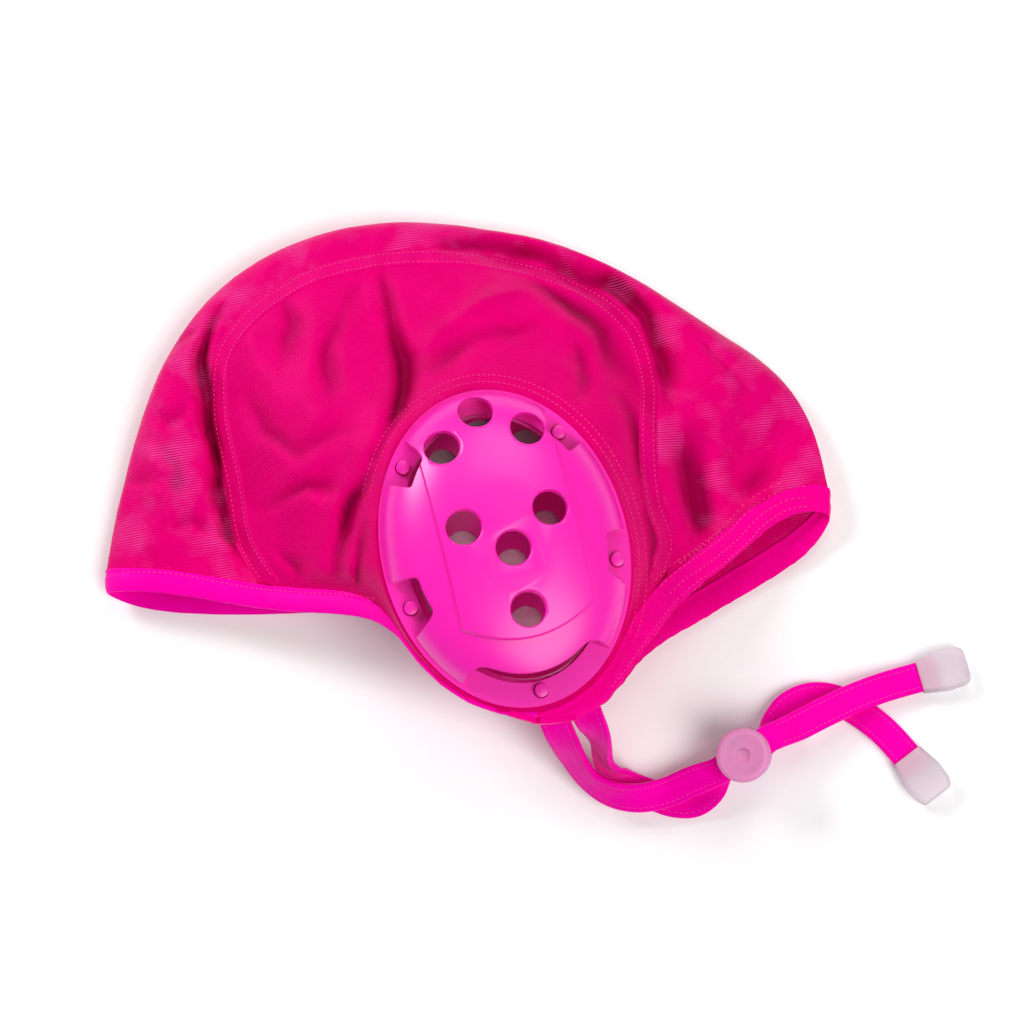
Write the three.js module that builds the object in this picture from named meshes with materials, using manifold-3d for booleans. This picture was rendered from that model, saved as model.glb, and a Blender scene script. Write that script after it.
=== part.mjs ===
// Water polo cap lying on its side: a stretch-cloth cap of three panels, a bound forehead edge, an
// elastic nape casing, a ventilated ear guard clamped over each ear, and two chin ties that run
// through one spring cord lock and end in moulded tips.
// Millimetres, +Z up, the floor at z = 0. +X runs from the forehead to the nape, +Y towards the crown.
// "Near" is the side of the cap that faces up, "far" is the side that lies on the floor.
import * as THREE from "three";
import { mergeVertices } from "three/addons/utils/BufferGeometryUtils.js";
import Module from "manifold-3d";

const wasm = await Module();
wasm.setup();

// Cap
const CAP_LENGTH = 231; // forehead fold to nape fold
const CAP_DEPTH = 163; // crown fold to the lower edge at the ties
const FOLD_HEIGHT = 15; // doubled cloth along the crown fold
const HEAD_GAP = 12; // between the two ear guards, where the head goes in
const CLOTH = 1.2; // thickness of the stretch cloth
const SEAM_GAP = 0.3; // clearance between pieces that are sewn or clamped together
const FLOOR_GAP = 0.2; // between the cloth and the floor
const BINDING_WIDTH = 7.5;
const BINDING_THICKNESS = 2;
const CASING_WIDTH = 9;
const CASING_THICKNESS = 2.4;
const HEM_BY_GUARD = 1.6; // width of both edgings where they pass an ear guard
const HEM_CLEARANCE = 1.3; // cloth left between an ear guard and its hem

// Ear guard, with its length along the ear
const GUARD_LENGTH = 100;
const GUARD_WIDTH = 77;
const GUARD_HEIGHT = 24; // inner face of the ring to the top of the cup
const GUARD_TURN = 14; // degrees that its long axis leans towards the forehead
const NEAR_GUARD_ROLL = 6; // degrees that the upper guard tips towards the nape
const CUP_WALL = 1.8;
const CUP_FLANGE = 7.5; // inner ledge of the cup
const CUP_FLANGE_THICKNESS = 1.5;
const CUP_LIP = 1.2;
const PANEL_WIDTH = 41; // raised panel down the middle of the cup
const PANEL_RISE = 1;
const PANEL_FLAT = 0.8; // cut off the top of the raised panel, so that the cap can lie on it
const VENT_RADIUS = 5.3;
const RING_THICKNESS = 1.8;
const RING_WIDTH = 8;
const PEG_RADIUS = 2.1;
const PEG_HEAD = 2; // height of a peg above the ledge
const PEG_CLEARANCE = 0.3;
const CLAMPED_CLOTH = 2.2; // how far the cloth reaches in under the cup

// Chin ties, cord lock and tips
const TIE_WIDTH = 9.6;
const TIE_THICKNESS = 2.4;
const LOCK_DIAMETER = 17;
const LOCK_WALL = 1.9;
const LOCK_BODY_HEIGHT = 13.2;
const LOCK_FLOOR = 1.4;
const LOCK_HEAD_HEIGHT = 3.4;
const LOCK_TRAVEL = 2.5;
const LOCK_RUNNING_GAP = 0.3;
const LOCK_SLOT_WIDTH = 9.4;
const LOCK_SLOT_HEIGHT = 8.2;
const LOCK_TURN = 33; // degrees from +X to the way the ties run through it
const LOCK_LEAN = 9; // degrees that its top leans back along the ties
const LOCK_AT = new THREE.Vector3(0.381, -0.3887, 0.0065).multiplyScalar(CAP_LENGTH);
const TIP_LENGTH = 16;
const TIP_WIDTH = 13.5;
const TIP_THICKNESS = 5.6;
const TIP_NECK = 10.6;
const TIP_SOCKET = 6; // how deep a tie reaches into its tip

// Mesh density
const RIM_STATIONS = 20;
const PANEL_RINGS = 5;
const CROWN_STATIONS = 28;
const CROWN_POINTS = 10;
const CUP_SIDES = 24;
const TIE_STATIONS = 34;

const guardBase = { near: GUARD_HEIGHT + HEAD_GAP, far: GUARD_HEIGHT };
const clothInGuard = RING_THICKNESS + SEAM_GAP + CLOTH / 2;
const cupBase = clothInGuard + CLOTH / 2 + SEAM_GAP;
const pegInset = 0.6 * CUP_FLANGE;
const floorCloth = FLOOR_GAP + CLOTH / 2;
const foldMiddle = FLOOR_GAP + FOLD_HEIGHT / 2;
const topCloth = FLOOR_GAP + FOLD_HEIGHT - CLOTH / 2;

// Outline of the folded cap from the forehead over the crown to the nape. x and y are shares of
// CAP_LENGTH and CAP_DEPTH here and in every table of the cap.
const FOLD = [
  { x: -0.499, y: -0.195 },
  { x: -0.48, y: -0.03 },
  { x: -0.457, y: 0.098 },
  { x: -0.42, y: 0.232 },
  { x: -0.352, y: 0.364 },
  { x: -0.26, y: 0.45 },
  { x: -0.168, y: 0.49 },
  { x: -0.09, y: 0.5 },
  { x: 0.017, y: 0.487 },
  { x: 0.11, y: 0.46 },
  { x: 0.202, y: 0.409 },
  { x: 0.294, y: 0.327 },
  { x: 0.386, y: 0.241 },
  { x: 0.434, y: 0.185 },
  { x: 0.473, y: 0.098 },
  { x: 0.496, y: 0.01 },
];

// Seam between the crown panel and a side panel, without its two ends, which lie on the edgings.
const SEAM = [
  { x: -0.318, y: -0.15 },
  { x: -0.336, y: -0.024 },
  { x: -0.357, y: 0.112 },
  { x: -0.352, y: 0.225 },
  { x: -0.312, y: 0.31 },
  { x: -0.236, y: 0.386 },
  { x: -0.152, y: 0.424 },
  { x: -0.069, y: 0.436 },
  { x: 0.014, y: 0.43 },
  { x: 0.098, y: 0.406 },
  { x: 0.18, y: 0.356 },
  { x: 0.236, y: 0.282 },
  { x: 0.258, y: 0.176 },
  { x: 0.256, y: 0.056 },
  { x: 0.262, y: -0.064 },
  { x: 0.28, y: -0.15 },
];

// Lower edges. lift is the height of the cloth, as a share of its height under that side's ear guard.
const NEAR_FRONT_RIM = [
  { x: 0.086, y: -0.503, lift: 0.97 },
  { x: 0.035, y: -0.481, lift: 0.99 },
  { x: -0.006, y: -0.445, lift: 0.98 },
  { x: -0.048, y: -0.393, lift: 0.95 },
  { x: -0.082, y: -0.343, lift: 0.87 },
  { x: -0.115, y: -0.312, lift: 0.76 },
  { x: -0.16, y: -0.295, lift: 0.63 },
  { x: -0.229, y: -0.285, lift: 0.47 },
  { x: -0.285, y: -0.276, lift: 0.37 },
  { x: -0.341, y: -0.262, lift: 0.33 },
  { x: -0.411, y: -0.243, lift: 0.3 },
  { x: -0.462, y: -0.239, lift: 0.29 },
];
const FAR_FRONT_RIM = [
  { x: -0.48, y: -0.255, lift: 0.12 },
  { x: -0.442, y: -0.27, lift: 0.085 },
  { x: -0.372, y: -0.279, lift: 0.08 },
  { x: -0.29, y: -0.279, lift: 0.08 },
  { x: -0.226, y: -0.275, lift: 0.1 },
  { x: -0.164, y: -0.277, lift: 0.3 },
  { x: -0.112, y: -0.295, lift: 0.6 },
  { x: -0.078, y: -0.324, lift: 0.85 },
  { x: -0.042, y: -0.378, lift: 0.95 },
  { x: 0.0, y: -0.432, lift: 0.98 },
  { x: 0.04, y: -0.468, lift: 0.98 },
  { x: 0.088, y: -0.491, lift: 0.97 },
];
const NEAR_NAPE_RIM = [
  { x: 0.0955, y: -0.505, lift: 0.97 },
  { x: 0.145, y: -0.498, lift: 0.97 },
  { x: 0.182, y: -0.466, lift: 0.94 },
  { x: 0.212, y: -0.412, lift: 0.87 },
  { x: 0.247, y: -0.342, lift: 0.74 },
  { x: 0.296, y: -0.254, lift: 0.58 },
  { x: 0.343, y: -0.204, lift: 0.46 },
  { x: 0.383, y: -0.156, lift: 0.39 },
  { x: 0.412, y: -0.112, lift: 0.34 },
  { x: 0.445, y: -0.084, lift: 0.31 },
  { x: 0.476, y: -0.078, lift: 0.26 },
];
const FAR_NAPE_RIM = [
  { x: 0.493, y: -0.12, lift: 0.22 },
  { x: 0.462, y: -0.17, lift: 0.13 },
  { x: 0.405, y: -0.22, lift: 0.09 },
  { x: 0.352, y: -0.268, lift: 0.09 },
  { x: 0.292, y: -0.314, lift: 0.2 },
  { x: 0.238, y: -0.37, lift: 0.5 },
  { x: 0.208, y: -0.425, lift: 0.78 },
  { x: 0.178, y: -0.47, lift: 0.92 },
  { x: 0.142, y: -0.491, lift: 0.97 },
  { x: 0.0975, y: -0.493, lift: 0.97 },
];
const FRONT_CORNER = { x: -0.499, y: -0.24 };
const NAPE_CORNER = { x: 0.4965, y: -0.088 };
// Where the two crown seams meet the edgings, as shares of the edging's own length.
const FRONT_SEAM_ENDS = { near: 0.335, far: 0.655 };
const NAPE_SEAM_ENDS = { near: 0.27, far: 0.73 };
const GUARD_CENTRE = { near: { x: 0.0475, y: -0.176 }, far: { x: 0.056, y: -0.163 } };

// Creases of the upper cloth: from (x1, y1) to (x2, y2), with half width and depth as shares of
// FOLD_HEIGHT. A negative depth is a ridge.
const CREASES = [
  { x1: -0.36, y1: 0.2, x2: -0.31, y2: -0.14, width: 0.4, depth: 0.34 },
  { x1: -0.4, y1: 0.16, x2: -0.4, y2: -0.1, width: 0.7, depth: -0.14 },
  { x1: -0.1, y1: 0.22, x2: -0.08, y2: 0.06, width: 0.45, depth: 0.4 },
  { x1: -0.2, y1: 0.27, x2: -0.22, y2: 0.0, width: 0.9, depth: -0.22 },
  { x1: 0.03, y1: 0.425, x2: 0.15, y2: 0.39, width: 0.45, depth: 0.36 },
  { x1: 0.19, y1: 0.36, x2: 0.25, y2: 0.17, width: 0.5, depth: 0.52 },
  { x1: 0.02, y1: 0.34, x2: 0.17, y2: 0.31, width: 0.7, depth: -0.24 },
  { x1: 0.33, y1: 0.26, x2: 0.36, y2: 0.1, width: 0.9, depth: -0.2 },
  { x1: 0.32, y1: 0.04, x2: 0.33, y2: -0.13, width: 0.5, depth: 0.42 },
  { x1: 0.42, y1: 0.1, x2: 0.4, y2: -0.07, width: 0.5, depth: 0.38 },
  { x1: 0.24, y1: 0.12, x2: 0.27, y2: -0.2, width: 0.6, depth: -0.3 },
  { x1: -0.16, y1: -0.02, x2: -0.13, y2: -0.22, width: 0.5, depth: 0.3 },
];

// The ear guard's own frame: x across, y along towards the crown, shares of half its width and length.
const VENTS = [
  { x: 0, y: 0.83 },
  { x: -0.34, y: 0.65 },
  { x: 0.36, y: 0.65 },
  { x: -0.34, y: 0.13 },
  { x: 0.36, y: 0.13 },
  { x: 0, y: -0.06 },
  { x: 0, y: -0.44 },
];
// Notches in the cup's side, each with a peg: the angle round the rim and half its sweep at the rim
// and inside, in degrees, and the share of the rim's radius that it reaches in to.
const NOTCHES = [
  { angle: -15, outer: 12, inner: 10, reach: 0.77 },
  { angle: 195, outer: 12, inner: 10, reach: 0.77 },
  { angle: 43, outer: 11, inner: 9, reach: 0.79 },
  { angle: 137, outer: 11, inner: 9, reach: 0.79 },
  { angle: 270, outer: 42, inner: 36, reach: 0.81 },
];

// Chin ties: the route of each flat tie as shares of CAP_LENGTH, with its roll in degrees. The
// stretch inside the cord lock is left out, because it follows the lock.
const TIE_A_TO_LOCK = [
  { x: 0.1104, y: -0.316, z: 0.1143, roll: 0 },
  { x: 0.116, y: -0.3485, z: 0.1108, roll: 8 },
  { x: 0.129, y: -0.3766, z: 0.0892, roll: 28 },
  { x: 0.1437, y: -0.4009, z: 0.0606, roll: 50 },
  { x: 0.1645, y: -0.4268, z: 0.0411, roll: 58 },
  { x: 0.1948, y: -0.445, z: 0.0346, roll: 44 },
  { x: 0.2294, y: -0.4502, z: 0.0303, roll: 24 },
  { x: 0.2684, y: -0.4433, z: 0.0268, roll: 6 },
  { x: 0.3056, y: -0.4277, z: 0.032, roll: 0 },
];
const TIE_A_FROM_LOCK = [
  { x: 0.445, y: -0.355, z: 0.0424, roll: 0 },
  { x: 0.4887, y: -0.3329, z: 0.0312, roll: 0 },
  { x: 0.5281, y: -0.3143, z: 0.0242, roll: 0 },
  { x: 0.5671, y: -0.2996, z: 0.0182, roll: 0 },
  { x: 0.6061, y: -0.2879, z: 0.0143, roll: 0 },
  { x: 0.6459, y: -0.2771, z: 0.0139, roll: 0 },
];
const TIE_B_TO_LOCK = [
  { x: 0.1494, y: -0.3074, z: 0.131, roll: 0 },
  { x: 0.1593, y: -0.342, z: 0.13, roll: 14 },
  { x: 0.1714, y: -0.3662, z: 0.1126, roll: 46 },
  { x: 0.1792, y: -0.3853, z: 0.0779, roll: 70 },
  { x: 0.1853, y: -0.4009, z: 0.0476, roll: 66 },
  { x: 0.1965, y: -0.4173, z: 0.026, roll: 44 },
  { x: 0.219, y: -0.4325, z: 0.0121, roll: 16 },
  { x: 0.2511, y: -0.445, z: 0.0074, roll: 0 },
  { x: 0.2814, y: -0.4554, z: 0.0069, roll: 0 },
  { x: 0.3091, y: -0.4554, z: 0.0078, roll: 0 },
  { x: 0.3316, y: -0.439, z: 0.0182, roll: 0 },
];
const TIE_B_FROM_LOCK = [
  { x: 0.4216, y: -0.3463, z: 0.0216, roll: 0 },
  { x: 0.4433, y: -0.3229, z: 0.013, roll: 0 },
  { x: 0.4719, y: -0.3113, z: 0.0074, roll: 0 },
  { x: 0.5056, y: -0.3143, z: 0.0069, roll: 0 },
  { x: 0.5394, y: -0.3325, z: 0.0069, roll: 0 },
  { x: 0.5688, y: -0.355, z: 0.0069, roll: 0 },
  { x: 0.5922, y: -0.3801, z: 0.0095, roll: 0 },
  { x: 0.6173, y: -0.413, z: 0.0139, roll: 0 },
];

const degrees = THREE.MathUtils.degToRad;
const up = new THREE.Vector3(0, 0, 1);

const finishes = {
  cloth: new THREE.MeshStandardMaterial({ color: 0xe6007e, roughness: 0.55, metalness: 0 }),
  edging: new THREE.MeshStandardMaterial({ color: 0xf5009b, roughness: 0.5, metalness: 0 }),
  guard: new THREE.MeshStandardMaterial({ color: 0xf51a9e, roughness: 0.4, metalness: 0 }),
  clear: new THREE.MeshStandardMaterial({
    color: 0xe9dfe8,
    roughness: 0.3,
    metalness: 0,
    transparent: true,
    opacity: 0.6,
  }),
};

// Solids

// A closed geometry from corner points and faces given as corner numbers, facing outwards.
function closedGeometry(points, faces) {
  let volume = 0;
  for (const [a, b, c] of faces)
    volume += points[a].dot(new THREE.Vector3().crossVectors(points[b], points[c]));
  const facing = volume < 0 ? faces.map(([a, b, c]) => [a, c, b]) : faces;
  const geometry = new THREE.BufferGeometry();
  geometry.setAttribute(
    "position",
    new THREE.Float32BufferAttribute(points.flatMap((p) => p.toArray()), 3),
  );
  geometry.setIndex(facing.flat());
  return geometry;
}

// Two triangles for each cell of a grid of corner numbers; cells with a doubled corner lose one.
function cellFaces(grid, closed) {
  const faces = [];
  for (let i = 0; i + 1 < grid.length; i++) {
    const cells = closed ? grid[i].length : grid[i].length - 1;
    for (let j = 0; j < cells; j++) {
      const k = (j + 1) % grid[i].length;
      faces.push([grid[i][j], grid[i + 1][j], grid[i + 1][k]]);
      faces.push([grid[i][j], grid[i + 1][k], grid[i][k]]);
    }
  }
  return faces;
}

// A wall of even thickness about a grid of points; closed joins each row's end to its start.
// edgeNormal(i, j) gives the normal where a neighbouring piece shares the edge.
function wall(rows, thickness, closed, edgeNormal) {
  const count = rows[0].length;
  const points = [];
  const sides = [0.5, -0.5].map((side) =>
    rows.map((row, i) =>
      row.map((p, j) => {
        const before = rows[Math.max(i - 1, 0)][j];
        const after = rows[Math.min(i + 1, rows.length - 1)][j];
        const left = row[closed ? (j + count - 1) % count : Math.max(j - 1, 0)];
        const right = row[closed ? (j + 1) % count : Math.min(j + 1, count - 1)];
        const along = new THREE.Vector3().subVectors(after, before);
        const across = new THREE.Vector3().subVectors(right, left);
        const normal = along.cross(across).normalize();
        const shared = edgeNormal(i, j);
        if (shared) normal.set(...(shared.dot(normal) < 0 ? shared.clone().negate() : shared));
        points.push(p.clone().addScaledVector(normal, side * thickness));
        return points.length - 1;
      }),
    ),
  );
  const [outer, inner] = sides;
  const flip = (faces) => faces.map(([a, b, c]) => [a, c, b]);
  const last = rows.length - 1;
  const faces = [...cellFaces(outer, closed), ...flip(cellFaces(inner, closed))];
  faces.push(...cellFaces([inner[0], outer[0]], closed));
  faces.push(...cellFaces([outer[last], inner[last]], closed));
  if (!closed) {
    const column = (side, j) => side.map((row) => row[j]);
    faces.push(...cellFaces([column(outer, 0), column(inner, 0)], false));
    faces.push(...cellFaces([column(inner, count - 1), column(outer, count - 1)], false));
  }
  return closedGeometry(points, faces);
}

// A solid through a row of closed sections, each with the same number of points.
function loft(sections) {
  const count = sections[0].length;
  const points = sections.flat();
  const grid = sections.map((section, i) => section.map((_, j) => i * count + j));
  const faces = cellFaces(grid, true);
  const lastRow = grid[grid.length - 1];
  for (let j = 1; j + 1 < count; j++) {
    faces.push([grid[0][0], grid[0][j], grid[0][j + 1]]);
    faces.push([lastRow[0], lastRow[j + 1], lastRow[j]]);
  }
  return closedGeometry(points, faces);
}

function toSolid(geometry) {
  const bare = geometry.clone();
  for (const name of ["normal", "uv"]) bare.deleteAttribute(name);
  const merged = mergeVertices(bare, 1e-4);
  return new wasm.Manifold(
    new wasm.Mesh({
      numProp: 3,
      vertProperties: merged.attributes.position.array,
      triVerts: new Uint32Array(merged.index.array),
    }),
  );
}

function toGeometry(solid) {
  const mesh = solid.getMesh();
  const geometry = new THREE.BufferGeometry();
  geometry.setAttribute("position", new THREE.BufferAttribute(mesh.vertProperties, 3));
  geometry.setIndex(new THREE.BufferAttribute(mesh.triVerts, 1));
  return geometry;
}

// A flat plate of a shape, from z = low to z = high.
function plate(shape, low, high, curveSegments = CUP_SIDES / 2) {
  const geometry = new THREE.ExtrudeGeometry(shape, {
    depth: high - low,
    bevelEnabled: false,
    curveSegments,
  });
  return toSolid(geometry.translate(0, 0, low));
}

// An upright cylinder at (x, y) from z = low to z = high.
function post(x, y, radius, low, high, sides = 12) {
  const geometry = new THREE.CylinderGeometry(radius, radius, high - low, sides);
  geometry.rotateX(Math.PI / 2).translate(x, y, (low + high) / 2);
  return toSolid(geometry);
}

// A solid turned about Z from points of radius and height.
function turned(profile, sides) {
  const outline = profile.map(([radius, height]) => new THREE.Vector2(radius, height));
  return new THREE.LatheGeometry(outline, sides).rotateX(Math.PI / 2);
}

function mesh(name, geometry, finish) {
  const made = new THREE.Mesh(geometry, finish);
  made.name = name;
  return made;
}

// Lines of the cap

const place = (row, height) =>
  new THREE.Vector3(row.x * CAP_LENGTH, row.y * CAP_DEPTH, height);

function smoothLine(points) {
  const line = new THREE.CatmullRomCurve3(points, false, "centripetal");
  line.arcLengthDivisions = 400;
  return line;
}

function guardMatrix(side) {
  const turn = new THREE.Matrix4().makeRotationZ(degrees(GUARD_TURN));
  const roll = new THREE.Matrix4().makeRotationY(side === "near" ? degrees(NEAR_GUARD_ROLL) : Math.PI);
  const centre = place(GUARD_CENTRE[side], guardBase[side]);
  return new THREE.Matrix4().makeTranslation(centre.x, centre.y, centre.z).multiply(turn).multiply(roll);
}
const guardPlaces = { near: guardMatrix("near"), far: guardMatrix("far") };
const guardFrames = {
  near: guardPlaces.near.clone().invert(),
  far: guardPlaces.far.clone().invert(),
};

// Height of the clamped cloth's plane under the ear guard. Past the guard it stays level.
function clampHeight(side, point) {
  const onPlane = new THREE.Vector3(0, 0, clothInGuard).applyMatrix4(guardPlaces[side]);
  const normal = new THREE.Vector3(0, 0, 1).transformDirection(guardPlaces[side]);
  const offset = new THREE.Vector3(point.x - onPlane.x, point.y - onPlane.y, 0);
  const flat = offset.clone().applyAxisAngle(up, -degrees(GUARD_TURN));
  const share = Math.hypot(flat.x / (GUARD_WIDTH / 2), flat.y / (GUARD_LENGTH / 2));
  offset.divideScalar(Math.max(share, 1));
  return onPlane.z - offset.dot(normal) / normal.z;
}

// How far a point lies outside an ear guard's oval, roughly, in the guard's plane.
function outsideGuard(side, point) {
  const local = point.clone().setZ(clampHeight(side, point)).applyMatrix4(guardFrames[side]);
  const reach = Math.hypot(local.x, local.y);
  return reach - reach / Math.hypot(local.x / (GUARD_WIDTH / 2), local.y / (GUARD_LENGTH / 2));
}

// The point moved straight away from the ear guard, if it lies nearer than the clearance.
function clearOfGuard(side, point, clearance) {
  const short = clearance - outsideGuard(side, point);
  if (short <= 0) return point;
  const centre = place(GUARD_CENTRE[side], 0);
  const away = new THREE.Vector3(point.x - centre.x, point.y - centre.y, 0).normalize();
  return point.clone().addScaledVector(away, short);
}

function rimPlace(side, row) {
  const point = place(row, 0);
  const level = clampHeight(side, point);
  const low = side === "near" ? 0 : floorCloth;
  return point.setZ(low + row.lift * (level - low));
}

const ease = (t) => {
  const s = THREE.MathUtils.clamp(t, 0, 1);
  return s * s * (3 - 2 * s);
};

// Share of the way round the rounded fold, from a seam (0) to the fold (1), for each point of the
// crown panel's section, and the side of the cap that it is on.
const FOLD_BLUNTNESS = 0.8;
const foldPoints = Array.from({ length: CROWN_POINTS + 1 }, (_, j) => {
  const turn = (Math.PI * j) / CROWN_POINTS;
  return {
    side: 2 * j <= CROWN_POINTS ? "near" : "far",
    out: Math.sin(turn) ** FOLD_BLUNTNESS,
    rise: Math.abs(Math.cos(turn)) ** FOLD_BLUNTNESS,
    upper: Math.max(0, Math.cos(turn)) ** 0.5,
  };
});

// Share of a line's length where it comes nearest to a point, by ever finer steps.
function shareNearest(line, point) {
  const distance = (q) => line.getPointAt(q).distanceTo(point);
  let [low, high] = [0, 1];
  for (let pass = 0; pass < 4; pass++) {
    const step = (high - low) / 30;
    const shares = Array.from({ length: 31 }, (_, i) => low + i * step);
    const best = shares.reduce((a, b) => (distance(b) < distance(a) ? b : a));
    [low, high] = [Math.max(best - step, 0), Math.min(best + step, 1)];
  }
  return (low + high) / 2;
}

// An edging along the mouth: upper rim, corner, lower rim. outer and inner give its two edges at a
// share q of its length; near, crown and far list the shares where the panels' corners meet it.
function edging(near, corner, far, fullWidth, seamEnds) {
  const cornerPoint = place(corner, foldMiddle);
  const line = smoothLine([
    ...near.map((row) => rimPlace("near", row)),
    cornerPoint,
    ...far.map((row) => rimPlace("far", row)),
  ]);
  const cornerDistance = (q) => line.getPointAt(q).distanceTo(cornerPoint);
  const cornerAt = shareNearest(line, cornerPoint);
  const sideAt = (q) => (q < cornerAt ? "near" : "far");
  const outer = (q) => clearOfGuard(sideAt(q), line.getPointAt(q), HEM_BY_GUARD + HEM_CLEARANCE);
  function tangent(q) {
    const [from, to] = [Math.max(q - 0.004, 0), Math.min(q + 0.004, 1)];
    return new THREE.Vector3().subVectors(outer(to), outer(from)).normalize();
  }
  function inwards(q) {
    const point = outer(q);
    const way = tangent(q);
    const perpendicular = new THREE.Vector3(-way.y, way.x, 0).normalize();
    const towards = new THREE.Vector3().subVectors(place(GUARD_CENTRE.near, 0), point).setZ(0);
    if (perpendicular.dot(towards) < 0) perpendicular.negate();
    const share = Math.exp(-((cornerDistance(q) / (2 * fullWidth)) ** 2));
    perpendicular.multiplyScalar(1 - share);
    return perpendicular.add(new THREE.Vector3(0, share, 0)).normalize();
  }
  const widthAt = (q) =>
    THREE.MathUtils.clamp(outsideGuard(sideAt(q), outer(q)) - HEM_CLEARANCE, HEM_BY_GUARD, fullWidth);
  const inner = (q, gap = 0) => outer(q).addScaledVector(inwards(q), widthAt(q) + gap);
  const normal = (q) => tangent(q).cross(inwards(q)).negate().normalize();
  const half = RIM_STATIONS / 2;
  const spread = (from, to) =>
    Array.from({ length: half + 1 }, (_, i) => THREE.MathUtils.lerp(from, to, i / half));
  return {
    outer,
    inner,
    normal,
    cornerAt,
    near: spread(0, seamEnds.near),
    crown: foldPoints.map(({ side, out }) => THREE.MathUtils.lerp(seamEnds[side], cornerAt, out)),
    far: spread(seamEnds.far, 1),
  };
}

const frontEdging = edging(
  NEAR_FRONT_RIM,
  FRONT_CORNER,
  FAR_FRONT_RIM,
  BINDING_WIDTH,
  FRONT_SEAM_ENDS,
);
const napeEdging = edging(
  NEAR_NAPE_RIM,
  NAPE_CORNER,
  FAR_NAPE_RIM,
  CASING_WIDTH,
  NAPE_SEAM_ENDS,
);

const foldLine = smoothLine([
  frontEdging.inner(frontEdging.cornerAt, SEAM_GAP),
  ...FOLD.slice(1, -1).map((row) => place(row, foldMiddle)),
  napeEdging.inner(napeEdging.cornerAt, SEAM_GAP),
]);

function seamLine(side) {
  const height = side === "near" ? topCloth : floorCloth;
  return smoothLine([
    frontEdging.inner(FRONT_SEAM_ENDS[side], SEAM_GAP),
    ...SEAM.map((row) => place(row, height)),
    napeEdging.inner(NAPE_SEAM_ENDS[side], SEAM_GAP),
  ]);
}
const seams = { near: seamLine("near"), far: seamLine("far") };

// Both panels stand upright along a seam, so that their edges run side by side.
function seamNormal(side, share) {
  const way = seams[side].getTangentAt(share);
  return up.clone().addScaledVector(way, -way.z).normalize();
}

// Creases and gathers

const rimPoints = [frontEdging, napeEdging].flatMap((edge) =>
  Array.from({ length: 61 }, (_, i) => edge.inner(i / 60)),
);

// Height that the creases add to the upper cloth at a point, nothing at the edgings and the guard.
function creaseHeight(point) {
  let height = 0;
  for (const crease of CREASES) {
    const from = place({ x: crease.x1, y: crease.y1 }, 0);
    const to = place({ x: crease.x2, y: crease.y2 }, 0);
    const way = new THREE.Vector3().subVectors(to, from);
    const offset = point.clone().setZ(0).sub(from);
    const along = THREE.MathUtils.clamp(offset.dot(way) / way.lengthSq(), 0, 1);
    const away = offset.addScaledVector(way, -along).length() / (crease.width * FOLD_HEIGHT);
    height -= crease.depth * FOLD_HEIGHT * Math.exp(-away * away);
  }
  const flat = point.clone().setZ(0);
  const rim = Math.min(...rimPoints.map((p) => Math.hypot(p.x - point.x, p.y - point.y)));
  const fromGuard = outsideGuard("near", flat);
  return height * ease(rim / (0.9 * FOLD_HEIGHT)) * ease(fromGuard / (0.65 * FOLD_HEIGHT));
}

// Panels

// Point of the ear guard's oval on the way to a target, set in by some millimetres.
function ovalPoint(side, target, inset) {
  const local = target.clone().setZ(clampHeight(side, target)).applyMatrix4(guardFrames[side]);
  const halfWidth = GUARD_WIDTH / 2 - inset;
  const halfLength = GUARD_LENGTH / 2 - inset;
  const scale = 1 / Math.hypot(local.x / halfWidth, local.y / halfLength);
  const point = new THREE.Vector3(local.x * scale, local.y * scale, clothInGuard);
  return point.applyMatrix4(guardPlaces[side]);
}

// Drop of the cloth from the ear guard (share 0) to the seam or edging (share 1).
const DRAPE = {
  near: (share) => (1 - share) ** 1.3,
  far: (share) => Math.max(0, 1 - share / 0.6) ** 1.6,
};

function sidePanel(side) {
  const seam = Array.from({ length: CROWN_STATIONS }, (_, i) => {
    const share = i / CROWN_STATIONS;
    return { point: seams[side].getPointAt(share), normal: seamNormal(side, share) };
  });
  const along = (edge, shares) =>
    shares.map((q) => ({ point: edge.inner(q, SEAM_GAP), normal: edge.normal(q) }));
  const nape = along(napeEdging, napeEdging[side]);
  const front = along(frontEdging, frontEdging[side]);
  if (side === "near") nape.reverse();
  else front.reverse();
  const boundary = [...seam, ...nape, ...front.slice(0, -1)];
  if (side === "far") boundary.splice(seam.length, Infinity, ...nape, ...front.slice(0, -1));
  const rows = [
    boundary.map(({ point }) => ovalPoint(side, point, CLAMPED_CLOTH)),
    boundary.map(({ point }) => ovalPoint(side, point, -CLOTH / 2 - SEAM_GAP)),
  ];
  for (let ring = 1; ring <= PANEL_RINGS; ring++) {
    const share = ring / PANEL_RINGS;
    rows.push(
      boundary.map(({ point: edge }, i) => {
        const from = rows[1][i];
        const to = edge.clone();
        if (i < seam.length) to.lerp(from, SEAM_GAP / 2 / edge.distanceTo(from));
        const point = from.clone().lerp(to, share);
        point.z = to.z + (from.z - to.z) * DRAPE[side](share);
        if (side === "near") point.z += creaseHeight(point);
        point.z = Math.max(point.z, floorCloth);
        return point;
      }),
    );
  }
  const clampNormal = up.clone().transformDirection(guardPlaces[side]);
  const narrow = 9 * CLOTH; // a strip this narrow keeps its hem's slant
  const edgeNormal = (i, j) => {
    if (i < 2) return clampNormal;
    const atHem = rows[1][j].distanceTo(boundary[j].point) < narrow;
    return atHem || i >= rows.length - 2 ? boundary[j].normal : null;
  };
  return mesh(`side_panel_${side}`, wall(rows, CLOTH, true, edgeNormal), finishes.cloth);
}

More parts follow.
